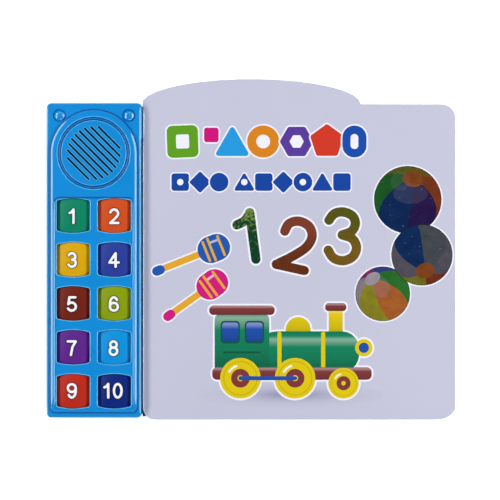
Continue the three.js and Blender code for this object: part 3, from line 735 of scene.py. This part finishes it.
def ball(index, item):       # gores on a half sphere, seen from above and laid flat
    cx, cy = item["at"]
    radius = item["radius"]
    px, py = item["cap"]
    pole = Vector((px, py, math.sqrt(1 - px * px - py * py)))
    sideways = Vector((0, 0, 1)).cross(pole).normalized()
    upwards = pole.cross(sideways)
    patch(disc(cx, cy, radius + ballGrid["edge"], steps=72), ink("ballEdge", printInk, shade(12, 14, 18)))
    stamps = [ink(f"ball{index}_{k}", foil, shade(*tone), item["paintedHighlights"]) for k, tone in enumerate(item["gores"])]
    button = ink(f"ballButton{index}", foil, shade(*item["button"]), item["paintedHighlights"])
    turns, rings = ballGrid["turns"], ballGrid["rings"]
    height = coverHigh[2] + nextLevel()
    shown, depth = {}, {}
    for ring in range(rings + 1):
        latitude = math.pi * ring / rings
        for k in range(turns):
            longitude = math.radians(360 * k / turns + item["turn"])
            point = (pole * math.cos(latitude)
                     + (sideways * math.cos(longitude) + upwards * math.sin(longitude)) * math.sin(latitude))
            flat = point.xy if point.z >= 0 else point.xy.normalized()
            depth[ring, k] = point.z
            shown[ring, k] = Vector(((cx + radius * flat.x) * mm, (cy + radius * flat.y) * mm, height))
    for ring in range(rings):
        for k in range(turns):
            cell = [(ring, k), (ring + 1, k), (ring + 1, (k + 1) % turns), (ring, (k + 1) % turns)]
            corners = []
            for key in cell:
                if not corners or (shown[key] - corners[-1]).length > ballGrid["near"]:
                    corners.append(shown[key])
            if (corners[0] - corners[-1]).length < ballGrid["near"]:
                corners.pop()
            if len(corners) < 3 or max(depth[key] for key in cell) <= 0:
                continue
            if turnSense([tuple(c.xy) for c in corners]) < 0:
                corners.reverse()
            face = sheet["shape"].faces.new([sheet["shape"].verts.new(c) for c in corners])
            face.material_index = button if ring < ballGrid["capRings"] else stamps[int(k * len(stamps) / turns)]


for item in balls:
    patch(disc(*item["at"], item["radius"] + ballGrid["border"], steps=72), white)
for index, item in enumerate(balls):
    ball(index, item)

# Two shakers: a round head with stripes on a straight handle
shakers = [
    {"head": (-24.0, 0.5), "tail": (-60.5, -14.0), "colour": shade(26, 84, 172), "name": "Blue"},
    {"head": (-25.0, -22.5), "tail": (-53.5, -43.0), "colour": shade(206, 20, 124), "name": "Pink"},
]
shakerSizes = {"radius": 8.6, "long": 1.225, "border": 1.0, "handle": 4.2, "knob": 6.0, "knobLong": 2.4,
               "stripe": 1.6, "stripes": (-5.2, -1.6, 5.0), "stripeEnd": 1.2, "shine": 1.5,
               "yellow": shade(226, 166, 40), "pale": 0.45}
handleInk = ink("shakerYellow", printInk, shakerSizes["yellow"])
radius, border = shakerSizes["radius"], shakerSizes["border"]
for item in shakers:
    head, tail = Vector(item["head"]), Vector(item["tail"])
    headInk = ink(f"shaker{item['name']}", printInk, item["colour"])
    pale = tuple(shakerSizes["pale"] + (1 - shakerSizes["pale"]) * c for c in item["colour"])
    glintInk = ink(f"shakerGlint{item['name']}", printInk, pale)
    along = (head - tail).normalized()
    across = Vector((-along.y, along.x))
    lean = math.degrees(math.atan2(along.y, along.x))
    bulb = roundedBox(*head, 2 * radius * shakerSizes["long"], radius * 2, radius * 0.98, lean, 10)
    handle = [tuple(tail), tuple(head - along * radius * 0.6)]
    knob = [tuple(tail), tuple(tail + along * shakerSizes["knobLong"])]
    band(handle, shakerSizes["handle"] + 2 * border, white)
    band(knob, shakerSizes["knob"] + 2 * border, white)
    patch(grown(bulb, border), white)
    band(handle, shakerSizes["handle"], handleInk)
    band(knob, shakerSizes["knob"], headInk)
    patch(bulb, headInk)
    for offset in shakerSizes["stripes"]:
        middle = head + along * offset
        reach = across * (radius * math.sqrt(1 - (offset / radius / 1.22) ** 2) - shakerSizes["stripeEnd"])
        band([tuple(middle - reach), tuple(middle + reach)], shakerSizes["stripe"], handleInk)
    shine = head + across * radius * 0.5 + along * 2
    band([tuple(shine - along * 2.4), tuple(shine + along * 1.6)], shakerSizes["shine"], glintInk)


# A plain toy engine seen from the side, its round parts shaded from top to foot
def toyInk(name, colour, foot, head):
    finish = Finish(name)
    height = (finish.axes().pick("Y") - foot * mm) / ((head - foot) * mm)
    glow = tuple(0.22 + 0.78 * min(c * 1.15, 1) for c in colour)
    stops = [(0.0, lighter(colour, 0.42)), (0.3, lighter(colour, 0.82)), (0.62, colour),
             (0.8, glow), (0.88, lighter(colour, 1.1)), (1.0, lighter(colour, 0.72))]
    return printed(finish, finish.node("ShaderNodeValToRGB", {"stops": stops}, height))


def fadingInk(name, colour, paper, place, radii):       # a soft patch that fades into the paper
    finish = Finish(name)
    where = finish.node("ShaderNodeMapping", {"vector_type": "TEXTURE"}, finish.place(),
                        Location=(place[0] * mm, place[1] * mm, coverHigh[2]),
                        Scale=(radii[0] * mm, radii[1] * mm, 1))
    spread = finish.node("ShaderNodeTexGradient", {"gradient_type": "QUADRATIC_SPHERE"}, where)
    return finish.surface(Base_Color=finish.blend(spread, paper, colour), Roughness=0.34, Coat_Weight=0.35,
                          Coat_Roughness=0.1)


engine = {
    "green": shade(6, 128, 90), "dark": shade(2, 84, 58), "yellow": shade(222, 198, 4),
    "tyre": lighter(shade(222, 198, 4), 0.8), "maroon": shade(126, 52, 52), "blue": shade(24, 78, 168),
    "shadow": shade(132, 132, 172), "shadowAt": (26, -93), "shadowReach": (58, 7.5), "border": 1.2, "rail": -95.5,
    "boiler": (37, -65.5, 64, 26), "cab": (-6, -60, 35, 38), "chimney": (54, -46, 9, 18), "dome": (30, -51.5, 8, 8.2),
    "lamp": (72, -63), "lampRadii": (5.6, 3.3), "rings": (18, 46), "windows": (-13.5, 2),
    "footplate": (26, -79.5, 102, 8), "wheels": ((-7, 13), (28, 13), (59, 9.8)), "rod": 2.6,
    "wheelRings": ((1, "wheel", 40), (0.86, "tyre", 40), (0.79, "wheel", 40), (0.46, "hub", 40), (0.15, "wheel", 20)),
}
rail = engine["rail"]
boilerX, boilerY, boilerLong, boilerTall = engine["boiler"]
cabX, cabY, cabLong, cabTall = engine["cab"]
chimneyX, chimneyY, chimneyLong, chimneyTall = engine["chimney"]
capY = chimneyY + chimneyTall / 2
roofY = cabY + cabTall / 2 + 2
engineInk = {}
for name, colour, *span in (       # a span from foot to head gives the round shading
        ("green", "green", boilerY - boilerTall / 2, boilerY + boilerTall / 2),
        ("cab", "green", cabY - cabTall / 2, cabY + cabTall / 2 + 6), ("dark", "dark"),
        ("yellow", "yellow", -58, -32), ("wheel", "yellow"), ("tyre", "tyre"), ("maroon", "maroon", -85, -74),
        ("cap", "maroon", capY - 3, capY + 3), ("roof", "maroon", roofY - 4, roofY + 4), ("hub", "maroon"),
        ("glass", "blue", cabY - 2, cabY + 16), ("rod", "blue")):
    engineInk[name] = ink(f"engine{name.title()}", toyInk if span else printInk, engine[colour], *span)

engineParts = [       # outline, ink and whether a white border lies under all
    (roundedBox(chimneyX, chimneyY, chimneyLong, chimneyTall, 1.6), "yellow", True),
    (roundedBox(chimneyX, capY, chimneyLong + 4.5, 5, 2), "cap", True),
    (disc(*engine["dome"], 32), "yellow", True),
    (roundedBox(boilerX, boilerY, boilerLong, boilerTall, 11), "green", True)]
engineParts += [(roundedBox(x, boilerY, 2.6, boilerTall - 0.6, 1.1), "wheel", False) for x in engine["rings"]]
engineParts += [
    (disc(*engine["lamp"], engine["lampRadii"][0], steps=28), "wheel", True),
    (disc(*engine["lamp"], engine["lampRadii"][1], steps=24), "rod", False),
    (roundedBox(cabX, cabY, cabLong, cabTall, 4), "cab", True),
    (roundedBox(cabX, roofY, cabLong + 7, 6, 2.8), "roof", True)]
for x in engine["windows"]:
    engineParts += [(roundedBox(x, cabY + 7, 12.4, 14.5, 2.6), "dark", False),
                    (roundedBox(x, cabY + 7, 10.4, 12.5, 2), "glass", False)]
engineParts += [(roundedBox(cabX, cabY - 6, 24, 1.2, 0.5), "dark", False),
                (roundedBox(*engine["footplate"], 3), "maroon", True)]
for x, radius in engine["wheels"]:
    engineParts += [(disc(x, rail + radius, radius * share, steps=steps), name, share == 1)
                    for share, name, steps in engine["wheelRings"]]
patch(disc(*engine["shadowAt"], *engine["shadowReach"], 64),
      ink("engineShadow", fadingInk, engine["shadow"], lavender, engine["shadowAt"], engine["shadowReach"]))
for outline, name, hasBorder in engineParts:
    if hasBorder:
        patch(grown(outline, engine["border"]), white)
for outline, name, hasBorder in engineParts:
    patch(outline, engineInk[name])
for x, radius in engine["wheels"]:
    band(arc(x, rail + radius, radius * 0.63, 108, 150, 8), radius * 0.1, white)
band([(x, rail + radius) for x, radius in engine["wheels"][:2]], engine["rod"], engineInk["rod"])


def printPiece(name, body):
    piece = shapePiece(name, sheet["shape"], *sheet["inks"])
    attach(piece, body)
    print(name, len(sheet["inks"]), "inks", sheet["laid"], "patches")


printPiece("cover_print", "cover")

# The first page, seen when the cover is open: one square, two discs, three triangles on pale fields
pageLow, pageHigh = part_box("page_block")
firstPage = {
    "fields": [(30, 50, 168, 44), (30, 0, 168, 44), (30, -50, 168, 44)],
    "colours": [shade(250, 236, 190), shade(206, 232, 246), shade(216, 238, 206)],
    "size": 12.5, "pitch": 36, "rows": [("red", [0]), ("blue", [-0.5, 0.5]), ("green", [-1, 0, 1])],
}
newSheet(pageHigh[2])
white = ink("pageWhite", printInk, shade(244, 244, 250))
size = firstPage["size"]
for row, field in enumerate(firstPage["fields"]):
    patch(roundedBox(*field, 6), ink(f"pageField{row}", printInk, firstPage["colours"][row]))
    x, y = field[:2]
    name, places = firstPage["rows"][row]
    tone = ink(f"page_{name}", printInk, upperRow[name])
    for place in places:
        middle = x + place * firstPage["pitch"]
        bordered((roundedBox(middle, y, size * 2, size * 2, 3), disc(middle, y, size * 1.08),
                  triangle(middle, y, size, 1.6))[row], tone)
printPiece("page_print", "book")


# Lips and creases of the case: beads that follow its edges, coloured as painted highlights and painted shade
def beadTree():
    tree = bpy.data.node_groups.new("sweptBead", "GeometryNodeTree")
    for name, way, kind in (("Paths", "INPUT", "Geometry"), ("Radius", "INPUT", "Float"), ("Sides", "INPUT", "Int"),
                            ("Finish", "INPUT", "Material"), ("Beads", "OUTPUT", "Geometry")):
        tree.interface.new_socket(name, in_out=way, socket_type=f"NodeSocket{kind}")
    start, line, circle, sweep, smoothing, real, paint, end = (tree.nodes.new(kind) for kind in (
        "NodeGroupInput", "GeometryNodeMeshToCurve", "GeometryNodeCurvePrimitiveCircle",
        "GeometryNodeCurveToMesh", "GeometryNodeSetShadeSmooth", "GeometryNodeRealizeInstances",
        "GeometryNodeSetMaterial", "NodeGroupOutput"))
    sweep.inputs["Fill Caps"].default_value = True
    for source, output, target, entry in (
            (start, "Paths", line, "Mesh"), (line, "Curve", sweep, "Curve"), (start, "Radius", circle, "Radius"),
            (start, "Sides", circle, "Resolution"), (circle, "Curve", sweep, "Profile Curve"),
            (sweep, "Mesh", smoothing, 0), (smoothing, 0, real, 0), (real, 0, paint, "Geometry"),
            (start, "Finish", paint, "Material"), (paint, 0, end, "Beads")):
        tree.links.new(source.outputs[output], target.inputs[entry])
    return tree


beads = beadTree()
beadSocket = {item.name: item.identifier for item in beads.interface.items_tree if item.in_out == "INPUT"}


def beadPiece(name, paths, radius, finish, closed=False, sides=8, body="book"):       # paths of places in metres
    mesh = bpy.data.meshes.new(name)
    verts, edges = [], []
    for points in paths:
        first = len(verts)
        verts += points
        edges += [(first + k, first + k + 1) for k in range(len(points) - 1)]
        if closed:
            edges.append((len(verts) - 1, first))
    mesh.from_pydata(verts, edges, [])
    piece = linkMesh(name, mesh)
    follow = piece.modifiers.new("bead", "NODES")
    follow.node_group = beads
    for socket, value in (("Radius", radius * mm), ("Sides", sides), ("Finish", finish)):
        follow[beadSocket[socket]] = value
    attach(applied(piece), body)


def level(points, z):       # millimetres on the plan, to places in metres at one height
    return [(x * mm, y * mm, z * mm) for x, y in points]


fading = {"step": 0.8, "reach": 7.0, "depth": 0.5}


def faded(points, z):       # a level line whose ends sink out of sight
    line = refined(points, fading["step"])
    runs = [0.0]
    for here, after in zip(line, line[1:]):
        runs.append(runs[-1] + math.dist(here, after))
    places = []
    for (x, y), run in zip(line, runs):
        nearEnd = max(0.0, 1 - min(run, runs[-1] - run) / fading["reach"])
        places.append((x * mm, y * mm, (z - fading["depth"] * nearEnd ** 2) * mm))
    return places


def boxOf(node):       # its two corners in millimetres
    return (tuple(value / mm for value in corner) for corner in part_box(node))


housingLow, housingHigh = boxOf("front_housing")
caseShape = {
    "stepDown": 1.4, "fieldDown": 0.5, "panelHalf": 27.55, "panelFoot": 3.6, "panelCorner": 3.2,
    "archBelowHead": 32.15, "fieldHalf": 25.15, "fieldCorner": 2.5, "fieldPast": 0.5, "caseCorner": 3.0,
    "flange": 0.8, "windowBow": 1.15, "windowCorner": 1.6, "lipOut": 0.16,
    "ring": (20.9, 23.0), "slots": 9, "slotPitch": 3.5, "slotHalf": 0.7, "slotReach": 17.3,
    "slotOut": 0.1, "slotDown": 0.06, "slotLip": 0.17, "lip": 0.27, "lipDown": 0.08,
    "creaseOut": 0.22, "sheenIn": 0.95,
}
caseX = (housingLow[0] + housingHigh[0]) / 2
speakerY = housingHigh[1] - caseShape["archBelowHead"]
panelTop = housingHigh[2]
fieldTop = panelTop - caseShape["fieldDown"]
rimTop = panelTop - caseShape["stepDown"]
# Bead colours: the pale ones are painted highlights on rounded edges, the dark ones painted shade in creases, grooves
# and the gap beside the case
lipHighlightPlastic = mouldedPlastic("lipHighlightPlastic", shade(96, 196, 250), 0.2, 0.5)
sheenHighlightPlastic = mouldedPlastic("sheenHighlightPlastic", shade(140, 204, 242), 0.4, 0.1)
creaseShadePlastic = mouldedPlastic("creaseShadePlastic", shade(2, 84, 168), 0.4, 0.0)
grooveShadePlastic = mouldedPlastic("grooveShadePlastic", shade(2, 58, 136), 0.4, 0.0)
gapShadePlastic = mouldedPlastic("gapShadePlastic", shade(0, 24, 60), 0.5, 0.0)


def windowPath(n):       # just outside a key's window, its head and foot bowed
    low, high = boxOf(f"button_{n}")
    cx, cy = (low[0] + high[0]) / 2, (low[1] + high[1]) / 2
    outwards = caseShape["lipOut"] - caseShape["flange"]
    halfW, halfH = (high[0] - low[0]) / 2 + outwards, (high[1] - low[1]) / 2 + outwards
    corner = caseShape["windowCorner"] + caseShape["lipOut"]
    bow = caseShape["windowBow"]
    flatHalf, sideY = halfW - corner, halfH - bow
    steps = [1 - k / 6 for k in range(1, 12)]
    side = (arc(flatHalf, sideY - corner, corner, 0, 90, 6)
            + [(flatHalf * step, sideY + bow * (1 - step ** 2)) for step in steps]
            + arc(-flatHalf, sideY - corner, corner, 90, 165, 5))
    return [(cx + sense * px, cy + sense * py) for sense in (1, -1) for px, py in side]


leafSeams = {"leaves": 5, "near": 0.08 * mm, "radius": 0.17}


def ringOf(node, z):       # the places of a node's mesh at one height, in order round its middle
    low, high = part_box(node)
    cx, cy = (low[0] + high[0]) / 2, (low[1] + high[1]) / 2
    places = {}
    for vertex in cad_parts[node].data.vertices:
        if abs(vertex.co.z - z) < leafSeams["near"]:
            angle = math.atan2(vertex.co.y - cy, vertex.co.x - cx)
            places[round(angle, 4)] = (vertex.co.x, vertex.co.y, z)
    return [places[angle] for angle in sorted(places)]


seamCard = cutBoard("seamCard", shade(126, 124, 126))
leafStep = (pageHigh[2] - pageLow[2]) / leafSeams["leaves"]
seams = [ringOf("page_block", pageLow[2] + leafStep * k) for k in range(1, leafSeams["leaves"])]
beadPiece("leaf_seams", seams, leafSeams["radius"], seamCard, closed=True, sides=6)

# A dark strip of painted shade in the gap between the case and the leaves, wider at its foot
gapStrip = {"radius": 7.7, "clear": 0.06, "sill": -107.25, "head": 70.0, "top": 13.9 * mm, "thick": 11.0 * mm}
gapShadeSheet = softRubber("gapShadeSheet", shade(10, 12, 20))
leafLeft, leafFoot = pageLow[0] / mm, pageLow[1] / mm
turnX, turnY = leafLeft + gapStrip["radius"], leafFoot + gapStrip["radius"]
turnReach = gapStrip["radius"] + gapStrip["clear"]
lastAngle = 180 + math.degrees(math.asin((turnY - gapStrip["sill"]) / turnReach))
gapEdge = housingHigh[0] + gapStrip["clear"]
stripOutline = ([(gapEdge, gapStrip["head"]), (gapEdge, gapStrip["sill"])]
                + arc(turnX, turnY, turnReach, lastAngle, 180, 10)
                + [(leafLeft - gapStrip["clear"], gapStrip["head"])])
stripShape = bmesh.new()
flatPatch(stripShape, [(x * mm, y * mm) for x, y in stripOutline], lambda x, y: gapStrip["top"],
          gapStrip["thick"], 0)
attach(shapePiece("gap_strip", stripShape, gapShadeSheet), "book")

# Painted highlights along the cover's left edge, where it catches the light
edgeGlint = {"inset": 0.34, "radius": 0.36, "below": 0.14, "turn": 62, "fromTop": 38.0, "shineInset": 0.46,
             "shineRadius": 0.5, "shineFrom": 68.0, "shineHead": 91.6, "shineBelow": 0.3}
coverLeft, coverTop = coverLow[0] / mm, coverHigh[2] / mm
edgeLine = [(coverLeft + edgeGlint["inset"], coverHigh[1] / mm - edgeGlint["fromTop"])]
edgeLine += arc(turnX, turnY, gapStrip["radius"] - edgeGlint["inset"], 180, 180 + edgeGlint["turn"], 10)
shineLine = [(coverLeft + edgeGlint["shineInset"], edgeGlint[end]) for end in ("shineFrom", "shineHead")]
beadPiece("cover_edge_shine", [faded(shineLine, coverTop - edgeGlint["shineBelow"])],
          edgeGlint["shineRadius"], printInk("paintedShine", shade(255, 250, 255)), body="cover")
beadPiece("cover_edge_glint", [faded(edgeLine, coverTop - edgeGlint["below"])],
          edgeGlint["radius"], laminatedBoard("paintedEdgeHighlight", shade(240, 238, 255)), body="cover")

# Pale beads round each key window: painted highlights on the window's rounded rim
beadPiece("window_lips", [level(windowPath(n), fieldTop - caseShape["lipDown"]) for n in keys],
          caseShape["lip"], lipHighlightPlastic, closed=True)

# Pale beads round each grille slot: painted highlights on the slot's edges
slotPaths = []
along, across = Vector((1, -1)).normalized(), Vector((1, 1)).normalized()
side = caseShape["slotHalf"] + caseShape["slotOut"]
for k in range(caseShape["slots"]):
    offset = (k - (caseShape["slots"] - 1) / 2) * caseShape["slotPitch"]
    reach = math.sqrt(caseShape["slotReach"] ** 2 - offset ** 2) - caseShape["slotHalf"]
    middle = Vector((caseX, speakerY)) + across * offset
    points = (arc(*(middle + along * reach), side, -135, 45, 8) + arc(*(middle - along * reach), side, 45, 225, 8))
    slotPaths.append(level(points, panelTop - caseShape["slotDown"]))
beadPiece("grille_lips", slotPaths, caseShape["slotLip"], lipHighlightPlastic, closed=True, sides=6)

inner, outer = caseShape["ring"]
# Round the grille's groove: the lip beads are painted highlights, the creases painted shade, and the floor the case's
# own colour
ringBeads = [       # name, each ring's radius and depth under the panel's face, the bead's radius, finish
    ("lip", ((outer + 0.35, 0.1), (inner - 0.3, 0.14)), 0.2, lipHighlightPlastic),
    ("creases", ((outer - 0.3, 0.36), (inner + 0.38, 0.36)), 0.28, grooveShadePlastic),
    ("floor", (((outer + inner) / 2, 0.5),), 0.34, casePlastic)]
for name, rings, radius, finish in ringBeads:
    paths = [level(disc(caseX, speakerY, reach, steps=96), panelTop - down) for reach, down in rings]
    beadPiece(f"grille_ring_{name}", paths, radius, finish, closed=True)

# Painted highlights on the edges and painted shade in the creases of the raised panel, of the key field half a
# millimetre lower, and of the case, with painted shade along the gap beside the case
half, corner = caseShape["panelHalf"], caseShape["panelCorner"]
sheenHalf, outside = half - caseShape["sheenIn"], half + caseShape["creaseOut"]
panelFoot = housingLow[1] + caseShape["panelFoot"]
creaseFoot = panelFoot + corner + 0.2
panelSheens = [[(caseX - sheenHalf, panelFoot + 4)] + arc(caseX, speakerY, sheenHalf, 180, 128, 12),
               [(caseX + sheenHalf, panelFoot + 4)] + arc(caseX, speakerY, sheenHalf, 0, 30, 8)]
panelCreases = [[(caseX + outside, creaseFoot), *arc(caseX, speakerY, outside, 0, 180, 48),
                 (caseX - outside, creaseFoot)],
                [point for side, start in ((-1, 180), (1, 270))
                 for point in arc(caseX + side * (half - corner), panelFoot + corner,
                                  corner + caseShape["creaseOut"], start, start + 90, 8)]]
fieldHalf, corner = caseShape["fieldHalf"], caseShape["fieldCorner"]
past = caseShape["fieldPast"] - caseShape["flange"]
fieldHead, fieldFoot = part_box("button_1")[1][1] / mm + past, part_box("button_10")[0][1] / mm - past
headCrease = [point for side, start in ((-1, 180), (1, 90))
              for point in arc(caseX + side * (fieldHalf - corner), fieldHead - corner, corner, start, start - 90, 8)]
caseFoot, caseHead = housingLow[1] + caseShape["caseCorner"], housingHigh[1] - caseShape["caseCorner"]


def upright(x, foot, head):
    return [[(x, foot), (x, head)]]


edgeBeads = [       # name, how its lines lie, lines, height, bead radius, finish
    ("panel_edges", faded, panelSheens, panelTop - 0.42, 0.68, sheenHighlightPlastic),
    ("panel_crease", level, panelCreases, rimTop + 0.02, 0.36, creaseShadePlastic),
    ("field_crease", faded, [headCrease], fieldTop + 0.16, 0.5, creaseShadePlastic),
    ("field_edge_left", faded, upright(caseX - fieldHalf, fieldHead - 3, fieldFoot + 3), fieldTop + 0.2, 0.38,
     sheenHighlightPlastic),
    ("field_edge_right", faded, upright(caseX + fieldHalf, fieldHead - 3, fieldFoot + 3), fieldTop + 0.2, 0.38,
     lipHighlightPlastic),
    ("case_edge_left", faded, upright(housingLow[0] + 0.52, caseFoot, caseHead), rimTop - 0.28, 0.45, sheenHighlightPlastic),
    ("case_edge_right", faded, upright(housingHigh[0] - 1.05, caseFoot, caseHead), rimTop - 0.28, 0.54,
     sheenHighlightPlastic),
    ("case_edge_gap", faded, upright(housingHigh[0] - 0.26, caseFoot, gapStrip["head"]), rimTop - 0.28, 0.25,
     gapShadePlastic)]
for name, lying, lines, z, radius, finish in edgeBeads:
    beadPiece(name, [lying(line, z) for line in lines], radius, finish)
print("lips and creases")


# Floor, light and camera
floorSheet = {"reach": 5.0, "below": 0.3 * mm, "colour": (0.9, 0.9, 0.9), "glowNear": 0.42, "glowFar": 1.0,
              "near": 0.3, "far": 1.1}


def makeFloor():       # white to the camera, with the object's shadow; open to what lies below it
    mesh = bpy.data.meshes.new("floor")
    reach, z = floorSheet["reach"], -floorSheet["below"]
    mesh.from_pydata([(-reach, -reach, z), (reach, -reach, z), (reach, reach, z), (-reach, reach, z)], [],
                     [(0, 1, 2, 3)])
    floor = linkMesh("floor", mesh)
    finish = Finish("floorPaper")
    ways = finish.node("ShaderNodeLightPath")
    seen = ways.pick("Is Camera Ray") + ways.pick("Is Glossy Ray") + ways.pick("Is Transmission Ray")
    away = finish.node("ShaderNodeVectorMath", {"operation": "LENGTH"}, finish.place()).pick("Value")
    near, far = ((floorSheet[name],) * 3 for name in ("glowNear", "glowFar"))
    spread = finish.eased(away, floorSheet["near"], floorSheet["far"])
    glow = finish.blend(seen, (0.0, 0.0, 0.0), finish.blend(spread, near, far))
    finish.surface(Base_Color=floorSheet["colour"], Roughness=0.9, Specular_IOR_Level=0.0,
                   Emission_Color=glow, Emission_Strength=1.0)
    behind = finish.node("ShaderNodeNewGeometry").pick("Backfacing")
    clear = finish.node("ShaderNodeBsdfTransparent")
    through = behind.math("MAXIMUM", behind, ways.pick("Is Shadow Ray"))
    mixed = finish.node("ShaderNodeMixShader", None, through, Wire(finish, finish.shader.outputs[0]), clear)
    finish.tree.links.new(mixed.socket, finish.tree.nodes["Material Output"].inputs["Surface"])
    floor.data.materials.append(finish.material)


lamps = [
    {"name": "stripLeft", "at": (-0.95, 0.1, 0.6), "size": (1.5, 0.28), "power": 11.4},
    {"name": "stripRight", "at": (0.98, 0.1, 0.6), "size": (1.5, 0.28), "power": 12.8},
    {"name": "stripFront", "at": (0.4, -1.05, 0.75), "size": (1.2, 0.25), "power": 3.6},
    {"name": "stripBack", "at": (0.0, 1.1, 0.8), "size": (1.2, 0.25), "power": 2.8},
    {"name": "underLight", "at": (0.1, -0.3, -0.9), "size": (0.9, 0.9), "power": 7.0},
]
worldGrey = (0.085, 0.086, 0.09)


def makeLamps():
    for item in lamps:
        lamp = bpy.data.lights.new(item["name"], "AREA")
        lamp.shape = "RECTANGLE"
        lamp.size, lamp.size_y = item["size"]
        lamp.energy = item["power"]
        holder = bpy.data.objects.new(item["name"], lamp)
        holder.location = item["at"]
        holder.rotation_euler = (-Vector(item["at"])).to_track_quat("-Z", "Y").to_euler()
        scene.collection.objects.link(holder)
    world = bpy.data.worlds.new("studio")
    world.use_nodes = True
    nodes, links = world.node_tree.nodes, world.node_tree.links
    mix = nodes.new("ShaderNodeMix")
    mix.data_type = "RGBA"
    for name, colour in (("first", worldGrey), ("second", (1, 1, 1))):
        mix.inputs[colourMix[name]].default_value = (*colour, 1)
    links.new(nodes.new("ShaderNodeLightPath").outputs["Is Camera Ray"], mix.inputs[colourMix["mask"]])
    links.new(mix.outputs[colourMix["out"]], nodes["Background"].inputs["Color"])
    scene.world = world


photo = {"across": 320.0 * mm, "distance": 0.753, "sensor": 36.0, "aim": (-0.85 * mm, -0.45 * mm)}


def makeCamera():       # straight above, with the photo's width at the cover's height
    data = bpy.data.cameras.new("above")
    data.sensor_width = photo["sensor"]
    data.lens = photo["sensor"] * photo["distance"] / photo["across"]
    camera = bpy.data.objects.new("above", data)
    camera.location = (*photo["aim"], coverHigh[2] + photo["distance"])
    scene.collection.objects.link(camera)
    scene.camera = camera


makeFloor()
makeLamps()
makeCamera()
scene.view_settings.view_transform = "Standard"
print("floor, lamps and camera")
